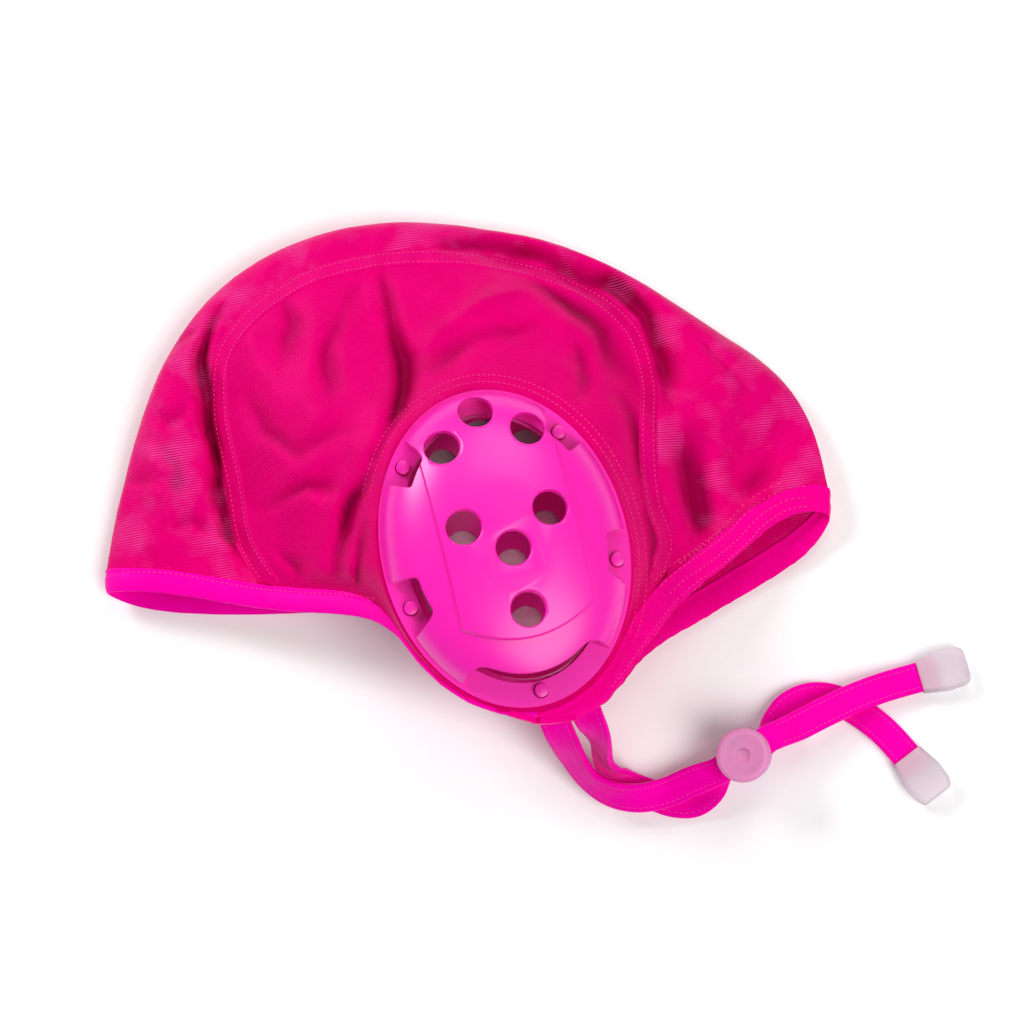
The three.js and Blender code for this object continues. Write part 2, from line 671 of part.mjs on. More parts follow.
// The crown panel wraps round the fold from the near seam to the far seam.
function crownPanel() {
  const section = (share) => {
    const fold = foldLine.getPointAt(share);
    return foldPoints.map(({ side, out, rise }) => {
      const seam = seams[side].getPointAt(share);
      const start = seam.clone().lerp(fold, SEAM_GAP / 2 / seam.distanceTo(fold));
      const point = start.lerp(fold, out);
      point.z = fold.z + (seam.z - fold.z) * rise;
      return point;
    });
  };
  // Both ends follow the edgings, and the first stations ease from them into the section.
  const edges = [frontEdging, napeEdging];
  const ends = edges.map((edge) => edge.crown.map((q) => edge.inner(q, 1.8 * SEAM_GAP)));
  const easing = 0.12; // share of the fold's length
  const plain = [section(0), section(1)];
  const rows = Array.from({ length: CROWN_STATIONS + 1 }, (_, i) => {
    const share = i / CROWN_STATIONS;
    const weights = [1 - ease(share / easing), 1 - ease((1 - share) / easing)];
    return section(share).map((point, j) => {
      const atSeam = j === 0 || j === CROWN_POINTS;
      weights.forEach((weight, end) => {
        const move = new THREE.Vector3().subVectors(ends[end][j], plain[end][j]);
        if (!atSeam) point.addScaledVector(move, weight);
      });
      point.z += creaseHeight(point) * foldPoints[j].upper;
      point.z = Math.max(point.z, floorCloth);
      return point;
    });
  });
  const edgeNormal = (i, j) => {
    const atEnd = i === 0 ? 0 : i === CROWN_STATIONS ? 1 : -1;
    if (j === 0) return seamNormal("near", i / CROWN_STATIONS);
    if (j === CROWN_POINTS) return seamNormal("far", i / CROWN_STATIONS);
    return atEnd < 0 ? null : edges[atEnd].normal(edges[atEnd].crown[j]);
  };
  return mesh("crown_panel", wall(rows, CLOTH, false, edgeNormal), finishes.cloth);
}

// A binding or casing: a band with a rounded outer edge that follows the mouth.
function band(name, edge, thickness) {
  const half = thickness / 2;
  const outline = [
    [0, half],
    [0.75, half],
    [1, 0.35 * half],
    [1, -0.35 * half],
    [0.75, -half],
    [0, -half],
  ];
  const shares = [...edge.near, ...edge.crown.slice(1, -1), ...edge.far];
  const sections = shares.map((q) => {
    const inner = edge.inner(q);
    const across = new THREE.Vector3().subVectors(edge.outer(q), inner);
    const normal = edge.normal(q);
    return outline.map(([out, rise]) =>
      inner.clone().addScaledVector(across, out).addScaledVector(normal, rise),
    );
  });
  return mesh(name, loft(sections), finishes.edging);
}

// Ear guard

const rimPoint = (share, angle, inset = 0) => [
  share * (GUARD_WIDTH / 2 - inset) * Math.cos(degrees(angle)),
  share * (GUARD_LENGTH / 2 - inset) * Math.sin(degrees(angle)),
];

// The cup's outside or inside: an oval dome whose foot is level.
function dome(halfWidth, halfLength, low, high, lip) {
  const steps = 5;
  const profile = [[0, low]];
  if (lip > 0) profile.push([1 + lip / halfLength, low], [1 + lip / halfLength, low + lip]);
  else profile.push([1, low]);
  const foot = low + lip;
  for (let i = lip > 0 ? 0 : 1; i < steps; i++) {
    const angle = (Math.PI / 2) * (i / steps);
    profile.push([Math.cos(angle) ** 0.86, foot + (high - foot) * Math.sin(angle) ** 0.92]);
  }
  profile.push([0, high]);
  const geometry = turned(profile, CUP_SIDES);
  return toSolid(geometry.scale(halfWidth, halfLength, 1));
}

function ovalShape(insetX, insetY) {
  return new THREE.Shape().absellipse(0, 0, GUARD_WIDTH / 2 - insetX, GUARD_LENGTH / 2 - insetY, 0, 2 * Math.PI);
}

function ovalRing(outerInset, insetX, insetY, low, high) {
  const shape = ovalShape(outerInset, outerInset);
  shape.holes.push(ovalShape(insetX, insetY));
  return plate(shape, low, high);
}

// Outline of the raised panel: straight sides and a bowed lower end.
function panelShape() {
  const half = PANEL_WIDTH / 2;
  const foot = -0.46 * (GUARD_LENGTH / 2);
  const bow = 0.14 * (GUARD_LENGTH / 2);
  const shape = new THREE.Shape();
  shape.moveTo(-half, GUARD_LENGTH / 2);
  shape.lineTo(-half, foot);
  shape.quadraticCurveTo(0, foot - 2 * bow, half, foot);
  shape.lineTo(half, GUARD_LENGTH / 2);
  shape.closePath();
  return shape;
}

function notchShape({ angle, outer, inner, reach }) {
  const points = [];
  const steps = Math.max(2, Math.round(outer / 8));
  for (let i = -steps; i <= steps; i++) points.push(rimPoint(1.12, angle + (outer * i) / steps));
  for (let i = steps; i >= -steps; i--) points.push(rimPoint(reach, angle + (inner * i) / steps));
  return new THREE.Shape(points.map(([x, y]) => new THREE.Vector2(x, y)));
}

function cupSolid() {
  const halfWidth = GUARD_WIDTH / 2 - CUP_LIP;
  const halfLength = GUARD_LENGTH / 2 - CUP_LIP;
  const ledge = cupBase + CUP_FLANGE_THICKNESS;
  const skin = dome(halfWidth, halfLength, cupBase, GUARD_HEIGHT - PANEL_RISE, CUP_LIP);
  const raised = dome(halfWidth + PANEL_RISE, halfLength, cupBase, GUARD_HEIGHT + PANEL_FLAT, 0);
  const panel = raised.intersect(plate(panelShape(), ledge + 2, GUARD_HEIGHT));
  const hollow = dome(
    halfWidth - CUP_WALL,
    halfLength - CUP_WALL,
    cupBase - 1,
    GUARD_HEIGHT - PANEL_RISE - CUP_WALL,
    0,
  );
  let cup = skin.add(panel).subtract(hollow);
  for (const notch of NOTCHES)
    cup = cup.subtract(plate(notchShape(notch), ledge - 0.4, GUARD_HEIGHT + 1, 6));
  cup = cup.add(ovalRing(0.2, CUP_FLANGE, CUP_FLANGE, cupBase, ledge));
  for (const { x, y } of VENTS)
    cup = cup.subtract(post((x * GUARD_WIDTH) / 2, (y * GUARD_LENGTH) / 2, VENT_RADIUS, ledge + 1, GUARD_HEIGHT + 1));
  for (const { angle } of NOTCHES) {
    const [x, y] = rimPoint(1, angle, pegInset);
    cup = cup.subtract(post(x, y, PEG_RADIUS + PEG_CLEARANCE, cupBase - 1, ledge + 1, 10));
  }
  return cup;
}

function ringSolid() {
  let ring = ovalRing(0.4, RING_WIDTH, RING_WIDTH, 0, RING_THICKNESS);
  const pegTop = cupBase + CUP_FLANGE_THICKNESS + PEG_HEAD;
  for (const { angle } of NOTCHES) {
    const [x, y] = rimPoint(1, angle, pegInset);
    ring = ring.add(post(x, y, PEG_RADIUS, RING_THICKNESS - 0.5, pegTop, 10));
  }
  return ring;
}

function earGuard(side, cup, ring) {
  const group = new THREE.Group();
  guardPlaces[side].decompose(group.position, group.quaternion, group.scale);
  group.add(mesh(`ear_cup_${side}`, toGeometry(cup), finishes.guard));
  group.add(mesh(`ear_ring_${side}`, toGeometry(ring), finishes.guard));
  return group;
}

// Cord lock: its own frame has Z along the plunger and X along the ties.

const lockPlace = new THREE.Matrix4()
  .makeTranslation(LOCK_AT.x, LOCK_AT.y, LOCK_AT.z)
  .multiply(new THREE.Matrix4().makeRotationZ(degrees(LOCK_TURN)))
  .multiply(new THREE.Matrix4().makeRotationY(-degrees(LOCK_LEAN)));
const tiePitch = TIE_THICKNESS + LOCK_RUNNING_GAP;
// The plunger's slot stands higher than the body's by the travel, which is what pinches the ties.
const bodySlotLow = LOCK_FLOOR + 1;
const plungerSlotLow = bodySlotLow + LOCK_TRAVEL;
const lowerTieHeight = plungerSlotLow + LOCK_RUNNING_GAP + TIE_THICKNESS / 2;

function slotCut(low) {
  const geometry = new THREE.BoxGeometry(2 * LOCK_DIAMETER, LOCK_SLOT_WIDTH, LOCK_SLOT_HEIGHT);
  return toSolid(geometry.translate(0, 0, low + LOCK_SLOT_HEIGHT / 2));
}

function lockBody() {
  const radius = LOCK_DIAMETER / 2;
  const sides = 16;
  const outside = toSolid(
    turned(
      [[0, 0], [radius - 1.6, 0], [radius - 0.4, 0.6], [radius, 2], [radius, LOCK_BODY_HEIGHT - 1], [radius - 0.5, LOCK_BODY_HEIGHT], [0, LOCK_BODY_HEIGHT]],
      sides,
    ),
  );
  const bore = post(0, 0, radius - LOCK_WALL, LOCK_FLOOR, LOCK_BODY_HEIGHT + 1, sides);
  return mesh("lock_body", toGeometry(outside.subtract(bore).subtract(slotCut(bodySlotLow))), finishes.clear);
}

function lockPlunger() {
  const radius = LOCK_DIAMETER / 2;
  const sides = 16;
  const headLow = LOCK_BODY_HEIGHT + LOCK_TRAVEL + LOCK_RUNNING_GAP;
  const headHigh = headLow + LOCK_HEAD_HEIGHT;
  const dimple = 2.2;
  const head = toSolid(
    turned(
      [[0, headLow], [radius - 0.4, headLow], [radius, headLow + 0.6], [radius, headHigh - 1.2], [radius - 0.5, headHigh - 0.4], [radius - 1.6, headHigh], [dimple, headHigh], [dimple * 0.6, headHigh - 0.7], [0, headHigh - 0.7]],
      sides,
    ),
  );
  const stemLow = LOCK_FLOOR + LOCK_TRAVEL + LOCK_RUNNING_GAP;
  const stemRadius = radius - LOCK_WALL - LOCK_RUNNING_GAP;
  const stem = post(0, 0, stemRadius, stemLow, headLow + 0.5, sides);
  return mesh("lock_plunger", toGeometry(head.add(stem.subtract(slotCut(plungerSlotLow)))), finishes.clear);
}

function cordLock() {
  const group = new THREE.Group();
  lockPlace.decompose(group.position, group.quaternion, group.scale);
  group.add(lockBody(), lockPlunger());
  return group;
}

// Chin ties

// Where a tie lies in the lock: level 0 is the lower one.
function inLock(level) {
  const height = lowerTieHeight + level * tiePitch;
  return [-0.52, 0, 0.52].map((share) =>
    new THREE.Vector3(share * LOCK_DIAMETER, 0, height).applyMatrix4(lockPlace),
  );
}

function tieLine(before, level, after) {
  const routePoint = (row) => new THREE.Vector3(row.x, row.y, row.z).multiplyScalar(CAP_LENGTH);
  const held = inLock(level);
  const line = smoothLine([...before.map(routePoint), ...held, ...after.map(routePoint)]);
  const rolls = [...before, ...held, ...after].map((row) => row.roll ?? 0);
  const roll = (t) => {
    const at = t * (rolls.length - 1);
    const i = Math.min(Math.floor(at), rolls.length - 2);
    return THREE.MathUtils.lerp(rolls[i], rolls[i + 1], at - i);
  };
  return { line, roll };
}

const tieLines = {
  a: tieLine(TIE_A_TO_LOCK, 1, TIE_A_FROM_LOCK),
  b: tieLine(TIE_B_TO_LOCK, 0, TIE_B_FROM_LOCK),
};

// A tie bunches to the slot's width where it runs through the lock.
function tieWidth(point) {
  const slotWidth = LOCK_SLOT_WIDTH - 2 * LOCK_RUNNING_GAP;
  const away = point.distanceTo(LOCK_AT.clone().setZ(point.z)) - LOCK_DIAMETER * 0.62;
  return THREE.MathUtils.lerp(Math.min(slotWidth, TIE_WIDTH), TIE_WIDTH, ease(away / TIE_WIDTH));
}

function tie(name, { line, roll }) {
  const sections = [];
  for (let i = 0; i <= TIE_STATIONS; i++) {
    const t = line.getUtoTmapping(i / TIE_STATIONS);
    const point = line.getPoint(t);
    const tangent = line.getTangent(t);
    const lie = up.clone().applyAxisAngle(tangent, degrees(roll(t)));
    const across = new THREE.Vector3().crossVectors(tangent, lie).normalize();
    const rise = new THREE.Vector3().crossVectors(across, tangent).normalize();
    const half = tieWidth(point) / 2;
    const thick = TIE_THICKNESS / 2;
    const outline = [
      [half, 0.4 * thick],
      [half - 0.9, thick],
      [0.9 - half, thick],
      [-half, 0.4 * thick],
      [-half, -0.4 * thick],
      [0.9 - half, -thick],
      [half - 0.9, -thick],
      [half, -0.4 * thick],
    ];
    sections.push(
      outline.map(([x, y]) => point.clone().addScaledVector(across, x).addScaledVector(rise, y)),
    );
  }
  return mesh(name, loft(sections), finishes.edging);
}

// A moulded tip: narrow at the tie, wide at its end, with a socket that the tie ends in.
function tieTip(name, { line }) {
  const end = line.getPoint(1);
  const way = line.getTangent(1);
  const stations = [
    { at: 0, width: TIP_NECK, thick: 0.86 },
    { at: 0.16, width: TIP_NECK + 1, thick: 0.96 },
    { at: 0.5, width: TIP_WIDTH, thick: 1 },
    { at: 0.82, width: TIP_WIDTH - 0.6, thick: 0.8 },
    { at: 0.95, width: TIP_WIDTH - 2.2, thick: 0.62 },
    { at: 1, width: TIP_WIDTH - 4, thick: 0.4 },
  ];
  const frame = new THREE.Matrix4();
  const across = new THREE.Vector3().crossVectors(up, way).normalize();
  const rise = new THREE.Vector3().crossVectors(way, across).normalize();
  frame.makeBasis(way, across, rise).setPosition(end.clone().addScaledVector(way, -TIP_SOCKET));
  const oblong = (x, width, thick) =>
    [
      [0.5, 0.22], [0.4, 0.5], [-0.4, 0.5], [-0.5, 0.22], [-0.5, -0.22], [-0.4, -0.5], [0.4, -0.5], [0.5, -0.22],
    ].map(([y, z]) => new THREE.Vector3(x, y * width, z * thick));
  const outside = toSolid(
    loft(stations.map((s) => oblong(s.at * TIP_LENGTH, s.width, s.thick * TIP_THICKNESS))),
  );
  const socketWidth = TIE_WIDTH + 2 * SEAM_GAP;
  const socketHeight = TIE_THICKNESS + 2 * SEAM_GAP;
  const socket = toSolid(
    new THREE.BoxGeometry(2 * (TIP_SOCKET + SEAM_GAP), socketWidth, socketHeight),
  );
  const tip = mesh(name, toGeometry(outside.subtract(socket)), finishes.clear);
  frame.decompose(tip.position, tip.quaternion, tip.scale);
  return tip;
}

// Assembly

const cap = new THREE.Group();
const cup = cupSolid();
const ring = ringSolid();
cap.add(crownPanel(), sidePanel("near"), sidePanel("far"));
cap.add(band("forehead_binding", frontEdging, BINDING_THICKNESS));
cap.add(band("nape_casing", napeEdging, CASING_THICKNESS));
cap.add(earGuard("near", cup, ring), earGuard("far", cup, ring));
cap.add(tie("chin_tie_a", tieLines.a), tie("chin_tie_b", tieLines.b));
cap.add(cordLock(), tieTip("tie_tip_a", tieLines.a), tieTip("tie_tip_b", tieLines.b));

export default cap;
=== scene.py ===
import math

import bmesh
import bpy
from bpy.props import FloatProperty, FloatVectorProperty, IntProperty, PointerProperty
from mathutils import Matrix, Quaternion, Vector, kdtree, noise
from mathutils.bvhtree import BVHTree


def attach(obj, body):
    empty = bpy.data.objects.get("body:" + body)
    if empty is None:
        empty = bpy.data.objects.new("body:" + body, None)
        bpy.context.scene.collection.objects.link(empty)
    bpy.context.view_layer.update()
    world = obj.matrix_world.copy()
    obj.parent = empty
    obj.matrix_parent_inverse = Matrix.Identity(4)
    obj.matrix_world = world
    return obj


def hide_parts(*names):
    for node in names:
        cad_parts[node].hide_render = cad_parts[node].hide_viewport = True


bl_info = {
    "name": "Water Polo Cap",
    "version": (1, 0, 0),
    "blender": (4, 5, 0),
    "location": "View3D > Sidebar > Cap",
    "description": "Builds a water polo cap with ear guards, chin ties and a cord lock",
    "category": "Add Mesh",
}

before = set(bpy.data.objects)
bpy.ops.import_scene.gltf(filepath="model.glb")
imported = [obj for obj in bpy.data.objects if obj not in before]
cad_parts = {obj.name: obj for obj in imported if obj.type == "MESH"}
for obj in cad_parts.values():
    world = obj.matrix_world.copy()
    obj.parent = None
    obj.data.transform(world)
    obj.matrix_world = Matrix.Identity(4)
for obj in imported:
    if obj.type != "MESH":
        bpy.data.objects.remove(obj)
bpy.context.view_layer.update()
MM = 0.001


def rgb(code):
    """An sRGB hex colour as linear RGBA."""
    parts = [int(code[i : i + 2], 16) / 255 for i in (0, 2, 4)]
    return [c / 12.92 if c <= 0.04045 else ((c + 0.055) / 1.055) ** 2.4 for c in parts] + [1.0]


# Sizes repeated from the solids, in millimetres
CAP_LENGTH = 231
CAP_DEPTH = 163
CLOTH = 1.2
GUARD_LENGTH = 100
GUARD_WIDTH = 77
GUARD_HEIGHT = 24
HEAD_GAP = 12
GUARD_TURN = 14
NEAR_GUARD_ROLL = 6
GUARD_CENTRE = {"near": (0.0475, -0.176), "far": (0.056, -0.163)}
CUP_WALL = 1.8
CUP_FLANGE = 7.5
CUP_FLANGE_THICKNESS = 1.5
CUP_LIP = 1.2
CUP_BASE = 3.6
PANEL_WIDTH = 41
PANEL_RISE = 1
PANEL_FLAT = 0.8
PANEL_STEP = 0.6
VENT_RADIUS = 5.3
RING_THICKNESS = 1.8
RING_WIDTH = 8
PEG_RADIUS = 2.1
PEG_HEAD = 2
PEG_CLEARANCE = 0.3
VENTS = (
    (0, 0.83),
    (-0.34, 0.65),
    (0.36, 0.65),
    (-0.34, 0.13),
    (0.36, 0.13),
    (0, -0.06),
    (0, -0.44),
)
# Angle round the rim, half sweep at the rim and inside, share of the radius reached in to
NOTCHES = (
    (-15, 12, 10, 0.77),
    (195, 12, 10, 0.77),
    (43, 11, 9, 0.79),
    (137, 11, 9, 0.79),
    (270, 42, 36, 0.81),
)
TIE_WIDTH = 9.6
TIE_THICKNESS = 2.4
LOCK_DIAMETER = 17
LOCK_WALL = 1.9
LOCK_BODY_HEIGHT = 13.2
LOCK_FLOOR = 1.4
LOCK_HEAD_HEIGHT = 3.4
LOCK_TRAVEL = 2.5
RUNNING_GAP = 0.3
SLOT_WIDTH = 9.4
SLOT_HEIGHT = 8.2
LOCK_TURN = 33
LOCK_LEAN = 9
LOCK_AT = (0.381 * CAP_LENGTH, -0.3887 * CAP_LENGTH, 0.0065 * CAP_LENGTH)
TIP_LENGTH = 16
TIP_WIDTH = 13.5
TIP_THICKNESS = 5.6
TIP_NECK = 10.6
TIP_SOCKET = 6

# Routes of the two chin ties, as in the solids: x, y, z as shares of CAP_LENGTH, roll in degrees
TIE_A_TO_LOCK = (
    (0.1104, -0.316, 0.1143, 0),
    (0.116, -0.3485, 0.1108, 8),
    (0.129, -0.3766, 0.0892, 28),
    (0.1437, -0.4009, 0.0606, 50),
    (0.1645, -0.4268, 0.0411, 58),
    (0.1948, -0.445, 0.0346, 44),
    (0.2294, -0.4502, 0.0303, 24),
    (0.2684, -0.4433, 0.0268, 6),
    (0.3056, -0.4277, 0.032, 0),
)
TIE_A_FROM_LOCK = (
    (0.445, -0.355, 0.0424, 0),
    (0.4887, -0.3329, 0.0312, 0),
    (0.5281, -0.3143, 0.0242, 0),
    (0.5671, -0.2996, 0.0182, 0),
    (0.6061, -0.2879, 0.0143, 0),
    (0.6459, -0.2771, 0.0139, 0),
)
TIE_B_TO_LOCK = (
    (0.1494, -0.3074, 0.131, 0),
    (0.1593, -0.342, 0.13, 14),
    (0.1714, -0.3662, 0.1126, 46),
    (0.1792, -0.3853, 0.0779, 70),
    (0.1853, -0.4009, 0.0476, 66),
    (0.1965, -0.4173, 0.026, 44),
    (0.219, -0.4325, 0.0121, 16),
    (0.2511, -0.445, 0.0074, 0),
    (0.2814, -0.4554, 0.0069, 0),
    (0.3091, -0.4554, 0.0078, 0),
    (0.3316, -0.439, 0.0182, 0),
)
TIE_B_FROM_LOCK = (
    (0.4216, -0.3463, 0.0216, 0),
    (0.4433, -0.3229, 0.013, 0),
    (0.4719, -0.3113, 0.0074, 0),
    (0.5056, -0.3143, 0.0069, 0),
    (0.5394, -0.3325, 0.0069, 0),
    (0.5688, -0.355, 0.0069, 0),
    (0.5922, -0.3801, 0.0095, 0),
    (0.6173, -0.413, 0.0139, 0),
)

# Lines of the cap, as in the solids: x and y as shares of CAP_LENGTH and CAP_DEPTH
SEAM = (
    (-0.318, -0.15),
    (-0.336, -0.024),
    (-0.357, 0.112),
    (-0.352, 0.225),
    (-0.312, 0.31),
    (-0.236, 0.386),
    (-0.152, 0.424),
    (-0.069, 0.436),
    (0.014, 0.43),
    (0.098, 0.406),
    (0.18, 0.356),
    (0.236, 0.282),
    (0.258, 0.176),
    (0.256, 0.056),
    (0.262, -0.064),
    (0.28, -0.15),
)
HEM_TACK = ((0.055, -0.492), (0.075, -0.499), (0.0955, -0.505), (0.12, -0.5035), (0.145, -0.498))
SEAM_ENDS = {
    "near": ((-0.277, -0.244), (0.262, -0.2315)),
    "far": ((-0.306, -0.232), (0.3025, -0.24)),
}
NEAR_FRONT_RIM = (
    (-0.082, -0.343),
    (-0.115, -0.312),
    (-0.16, -0.295),
    (-0.229, -0.285),
    (-0.285, -0.276),
    (-0.341, -0.262),
    (-0.411, -0.243),
    (-0.462, -0.239),
    (-0.492, -0.238),
)
FAR_FRONT_RIM = (
    (-0.495, -0.252),
    (-0.48, -0.255),
    (-0.442, -0.27),
    (-0.372, -0.279),
    (-0.29, -0.279),
    (-0.226, -0.275),
    (-0.164, -0.277),
    (-0.112, -0.295),
    (-0.078, -0.324),
)
NEAR_NAPE_RIM = (
    (0.182, -0.466),
    (0.212, -0.412),
    (0.247, -0.342),
    (0.296, -0.254),
    (0.343, -0.204),
    (0.383, -0.156),
    (0.412, -0.112),
    (0.445, -0.084),
    (0.476, -0.078),
)
FAR_NAPE_RIM = (
    (0.493, -0.12),
    (0.462, -0.17),
    (0.405, -0.22),
    (0.352, -0.268),
    (0.292, -0.314),
    (0.238, -0.37),
    (0.208, -0.425),
    (0.178, -0.47),
)

# Folds of the upper cloth in millimetres: half width, depth, height of the ridge beside the groove
# on its right, then the places it runs through. A negative depth is a ridge.
FOLDS = (
    (1.8, 5.4, 1.6, ((-80, 52), (-86, 36), (-84.6, 17), (-81, -2), (-77, -20), (-69, -33))),
    (2.4, 4.0, 1.4, ((-27, 60), (-24, 48), (-20.5, 34), (-22, 16), (-28, 0))),
    (3.2, 1.5, 0.5, ((-70, 26), (-66, 10), (-54, 3), (-34, 10))),
    (3.4, 1.6, 0.5, ((-36, 56), (-46, 38), (-44, 20))),
    (3.4, 1.6, 0.5, ((-62, 60), (-57, 46), (-60, 32))),
    (2.2, -2.0, 0, ((-13, 38), (-2, 49), (16, 56))),
    (3.6, 1.8, 0.5, ((-12, 30), (2, 40), (22, 45))),
    (3.0, 4.4, 1.2, ((-6, 72), (12, 71), (27, 67.5), (43, 61.5), (55, 51.5), (62, 38), (63.5, 22))),
    (3.2, 3.2, 1.0, ((16, 60), (30, 54), (42, 44), (47, 32))),
    (2.0, -1.6, 0.0, ((4, 52), (14, 46), (24, 47))),
    (3.4, 1.8, 0.5, ((34, 42), (37, 30), (33, 20))),
    (6.0, 4.4, 1.0, ((70, 8), (71, -3), (73, -17), (77, -34))),
    (4.6, 2.6, 1.0, ((97, 8), (93, 1), (89, -7), (85, -20))),
    (3.2, -1.8, 0, ((82, 12), (80, -4), (80, -22))),
    (2.4, -1.6, 0, ((102, 4), (98, -8), (94, -18))),
    (3.0, 4.0, 1.2, ((47, 22), (54, 4), (57, -12), (59, -34), (56, -54))),
    (2.2, -1.8, 0, ((64, 6), (67, -18), (72, -34))),
    (2.0, 1.2, 0.6, ((62, -30), (66, -42), (64, -54))),
    (2.8, 4.0, 1.4, ((-29, 0), (-37, -20), (-42, -40))),
    (1.8, 3.4, 1.2, ((-29, -16), (-33, -28), (-35, -45))),
    (3.2, 1.6, 0.5, ((-68, -14), (-52, -8), (-38, -12))),
    (2.0, 1.6, 0.8, ((-60, -26), (-54, -34), (-53, -41))),
    (2.0, 1.5, 0.6, ((-100, 8), (-94, -2), (-93, -14))),
    (2.2, 1.1, 0.5, ((-110, -2), (-98, -5), (-89, -9))),
    (2.4, 1.2, 0.5, ((-104, 20), (-96, 16), (-88, 22))),
    (2.4, 1.1, 0.5, ((-100, 36), (-92, 44), (-84, 46))),
    (2.0, 0.9, 0.4, ((-96, -22), (-88, -18), (-78, -22))),
    (2.2, 1.0, 0.5, ((72, 44), (82, 34), (90, 24))),
    (2.2, -0.9, 0, ((64, 52), (76, 42), (88, 34))),
)


class CapSettings(bpy.types.PropertyGroup):
    """Sizes and colours of the cap."""

    cloth: FloatVectorProperty(
        name="Cloth",
        description="Colour of the stretch cloth",
        subtype="COLOR",
        size=4,
        min=0,
        max=1,
        default=rgb("E0006E"),
    )
    edging: FloatVectorProperty(
        name="Edgings and Ties",
        description="Colour of the binding, the casing and the chin ties",
        subtype="COLOR",
        size=4,
        min=0,
        max=1,
        default=rgb("FF00AE"),
    )
    casing: FloatVectorProperty(
        name="Casing",
        description="Colour of the gathered elastic casing",
        subtype="COLOR",
        size=4,
        min=0,
        max=1,
        default=rgb("FA0090"),
    )
    guard: FloatVectorProperty(
        name="Ear Guards",
        description="Colour of the moulded ear guards",
        subtype="COLOR",
        size=4,
        min=0,
        max=1,
        default=rgb("FF1AB6"),
    )
    frosted: FloatVectorProperty(
        name="Lock and Tips",
        description="Colour of the frosted plastic",
        subtype="COLOR",
        size=4,
        min=0,
        max=1,
        default=rgb("FFF0FA"),
    )
    # Painted transmitted light: the pink of the tie seen through the lock is painted into this
    # colour.
    lock: FloatVectorProperty(
        name="Cord Lock",
        description="Colour of the cord lock, tinted by the tie inside",
        subtype="COLOR",
        size=4,
        min=0,
        max=1,
        default=rgb("FFA8DC"),
    )
    rib: FloatProperty(
        name="Rib Spacing",
        description="Distance between two ribs of the knitted cloth",
        unit="LENGTH",
        default=0.8 * MM,
        min=0.1 * MM,
    )
    stitch: FloatProperty(
        name="Stitch Pitch",
        description="Distance between two stitches of a seam",
        unit="LENGTH",
        default=1.6 * MM,
        min=1 * MM,
    )
    thread: FloatProperty(
        name="Thread",
        description="Thickness of the sewing thread",
        unit="LENGTH",
        default=0.3 * MM,
        min=0.1 * MM,
    )
    sides: IntProperty(
        name="Guard Sides",
        description="Sides of the round ear guard before it is smoothed",
        default=144,
        min=24,
        max=240,
    )


def settings():
    return bpy.context.scene.cap_settings


# Materials


def add(tree, kind, values=None, links=None):
    """Adds a node; values sets its fields and sockets, links joins sockets of other nodes to it."""
    made = tree.nodes.new(kind)
    for key, value in (values or {}).items():
        if isinstance(key, str) and hasattr(made, key):
            setattr(made, key, value)
        else:
            made.inputs[key].default_value = value
    for key, source in (links or {}).items():
        tree.links.new(source, made.inputs[key])
    return made


def new_material(name, shader):
    """A material with one principled shader whose constant values are given."""
    made = bpy.data.materials.new(name)
    made.use_nodes = True
    tree = made.node_tree
    tree.nodes.clear()
    principled = add(tree, "ShaderNodeBsdfPrincipled", shader)
    add(tree, "ShaderNodeOutputMaterial", links={"Surface": principled.outputs[0]})
    return made, tree, principled


def shaded(colour, factor):
    return [c * factor for c in colour[:3]] + [1.0]


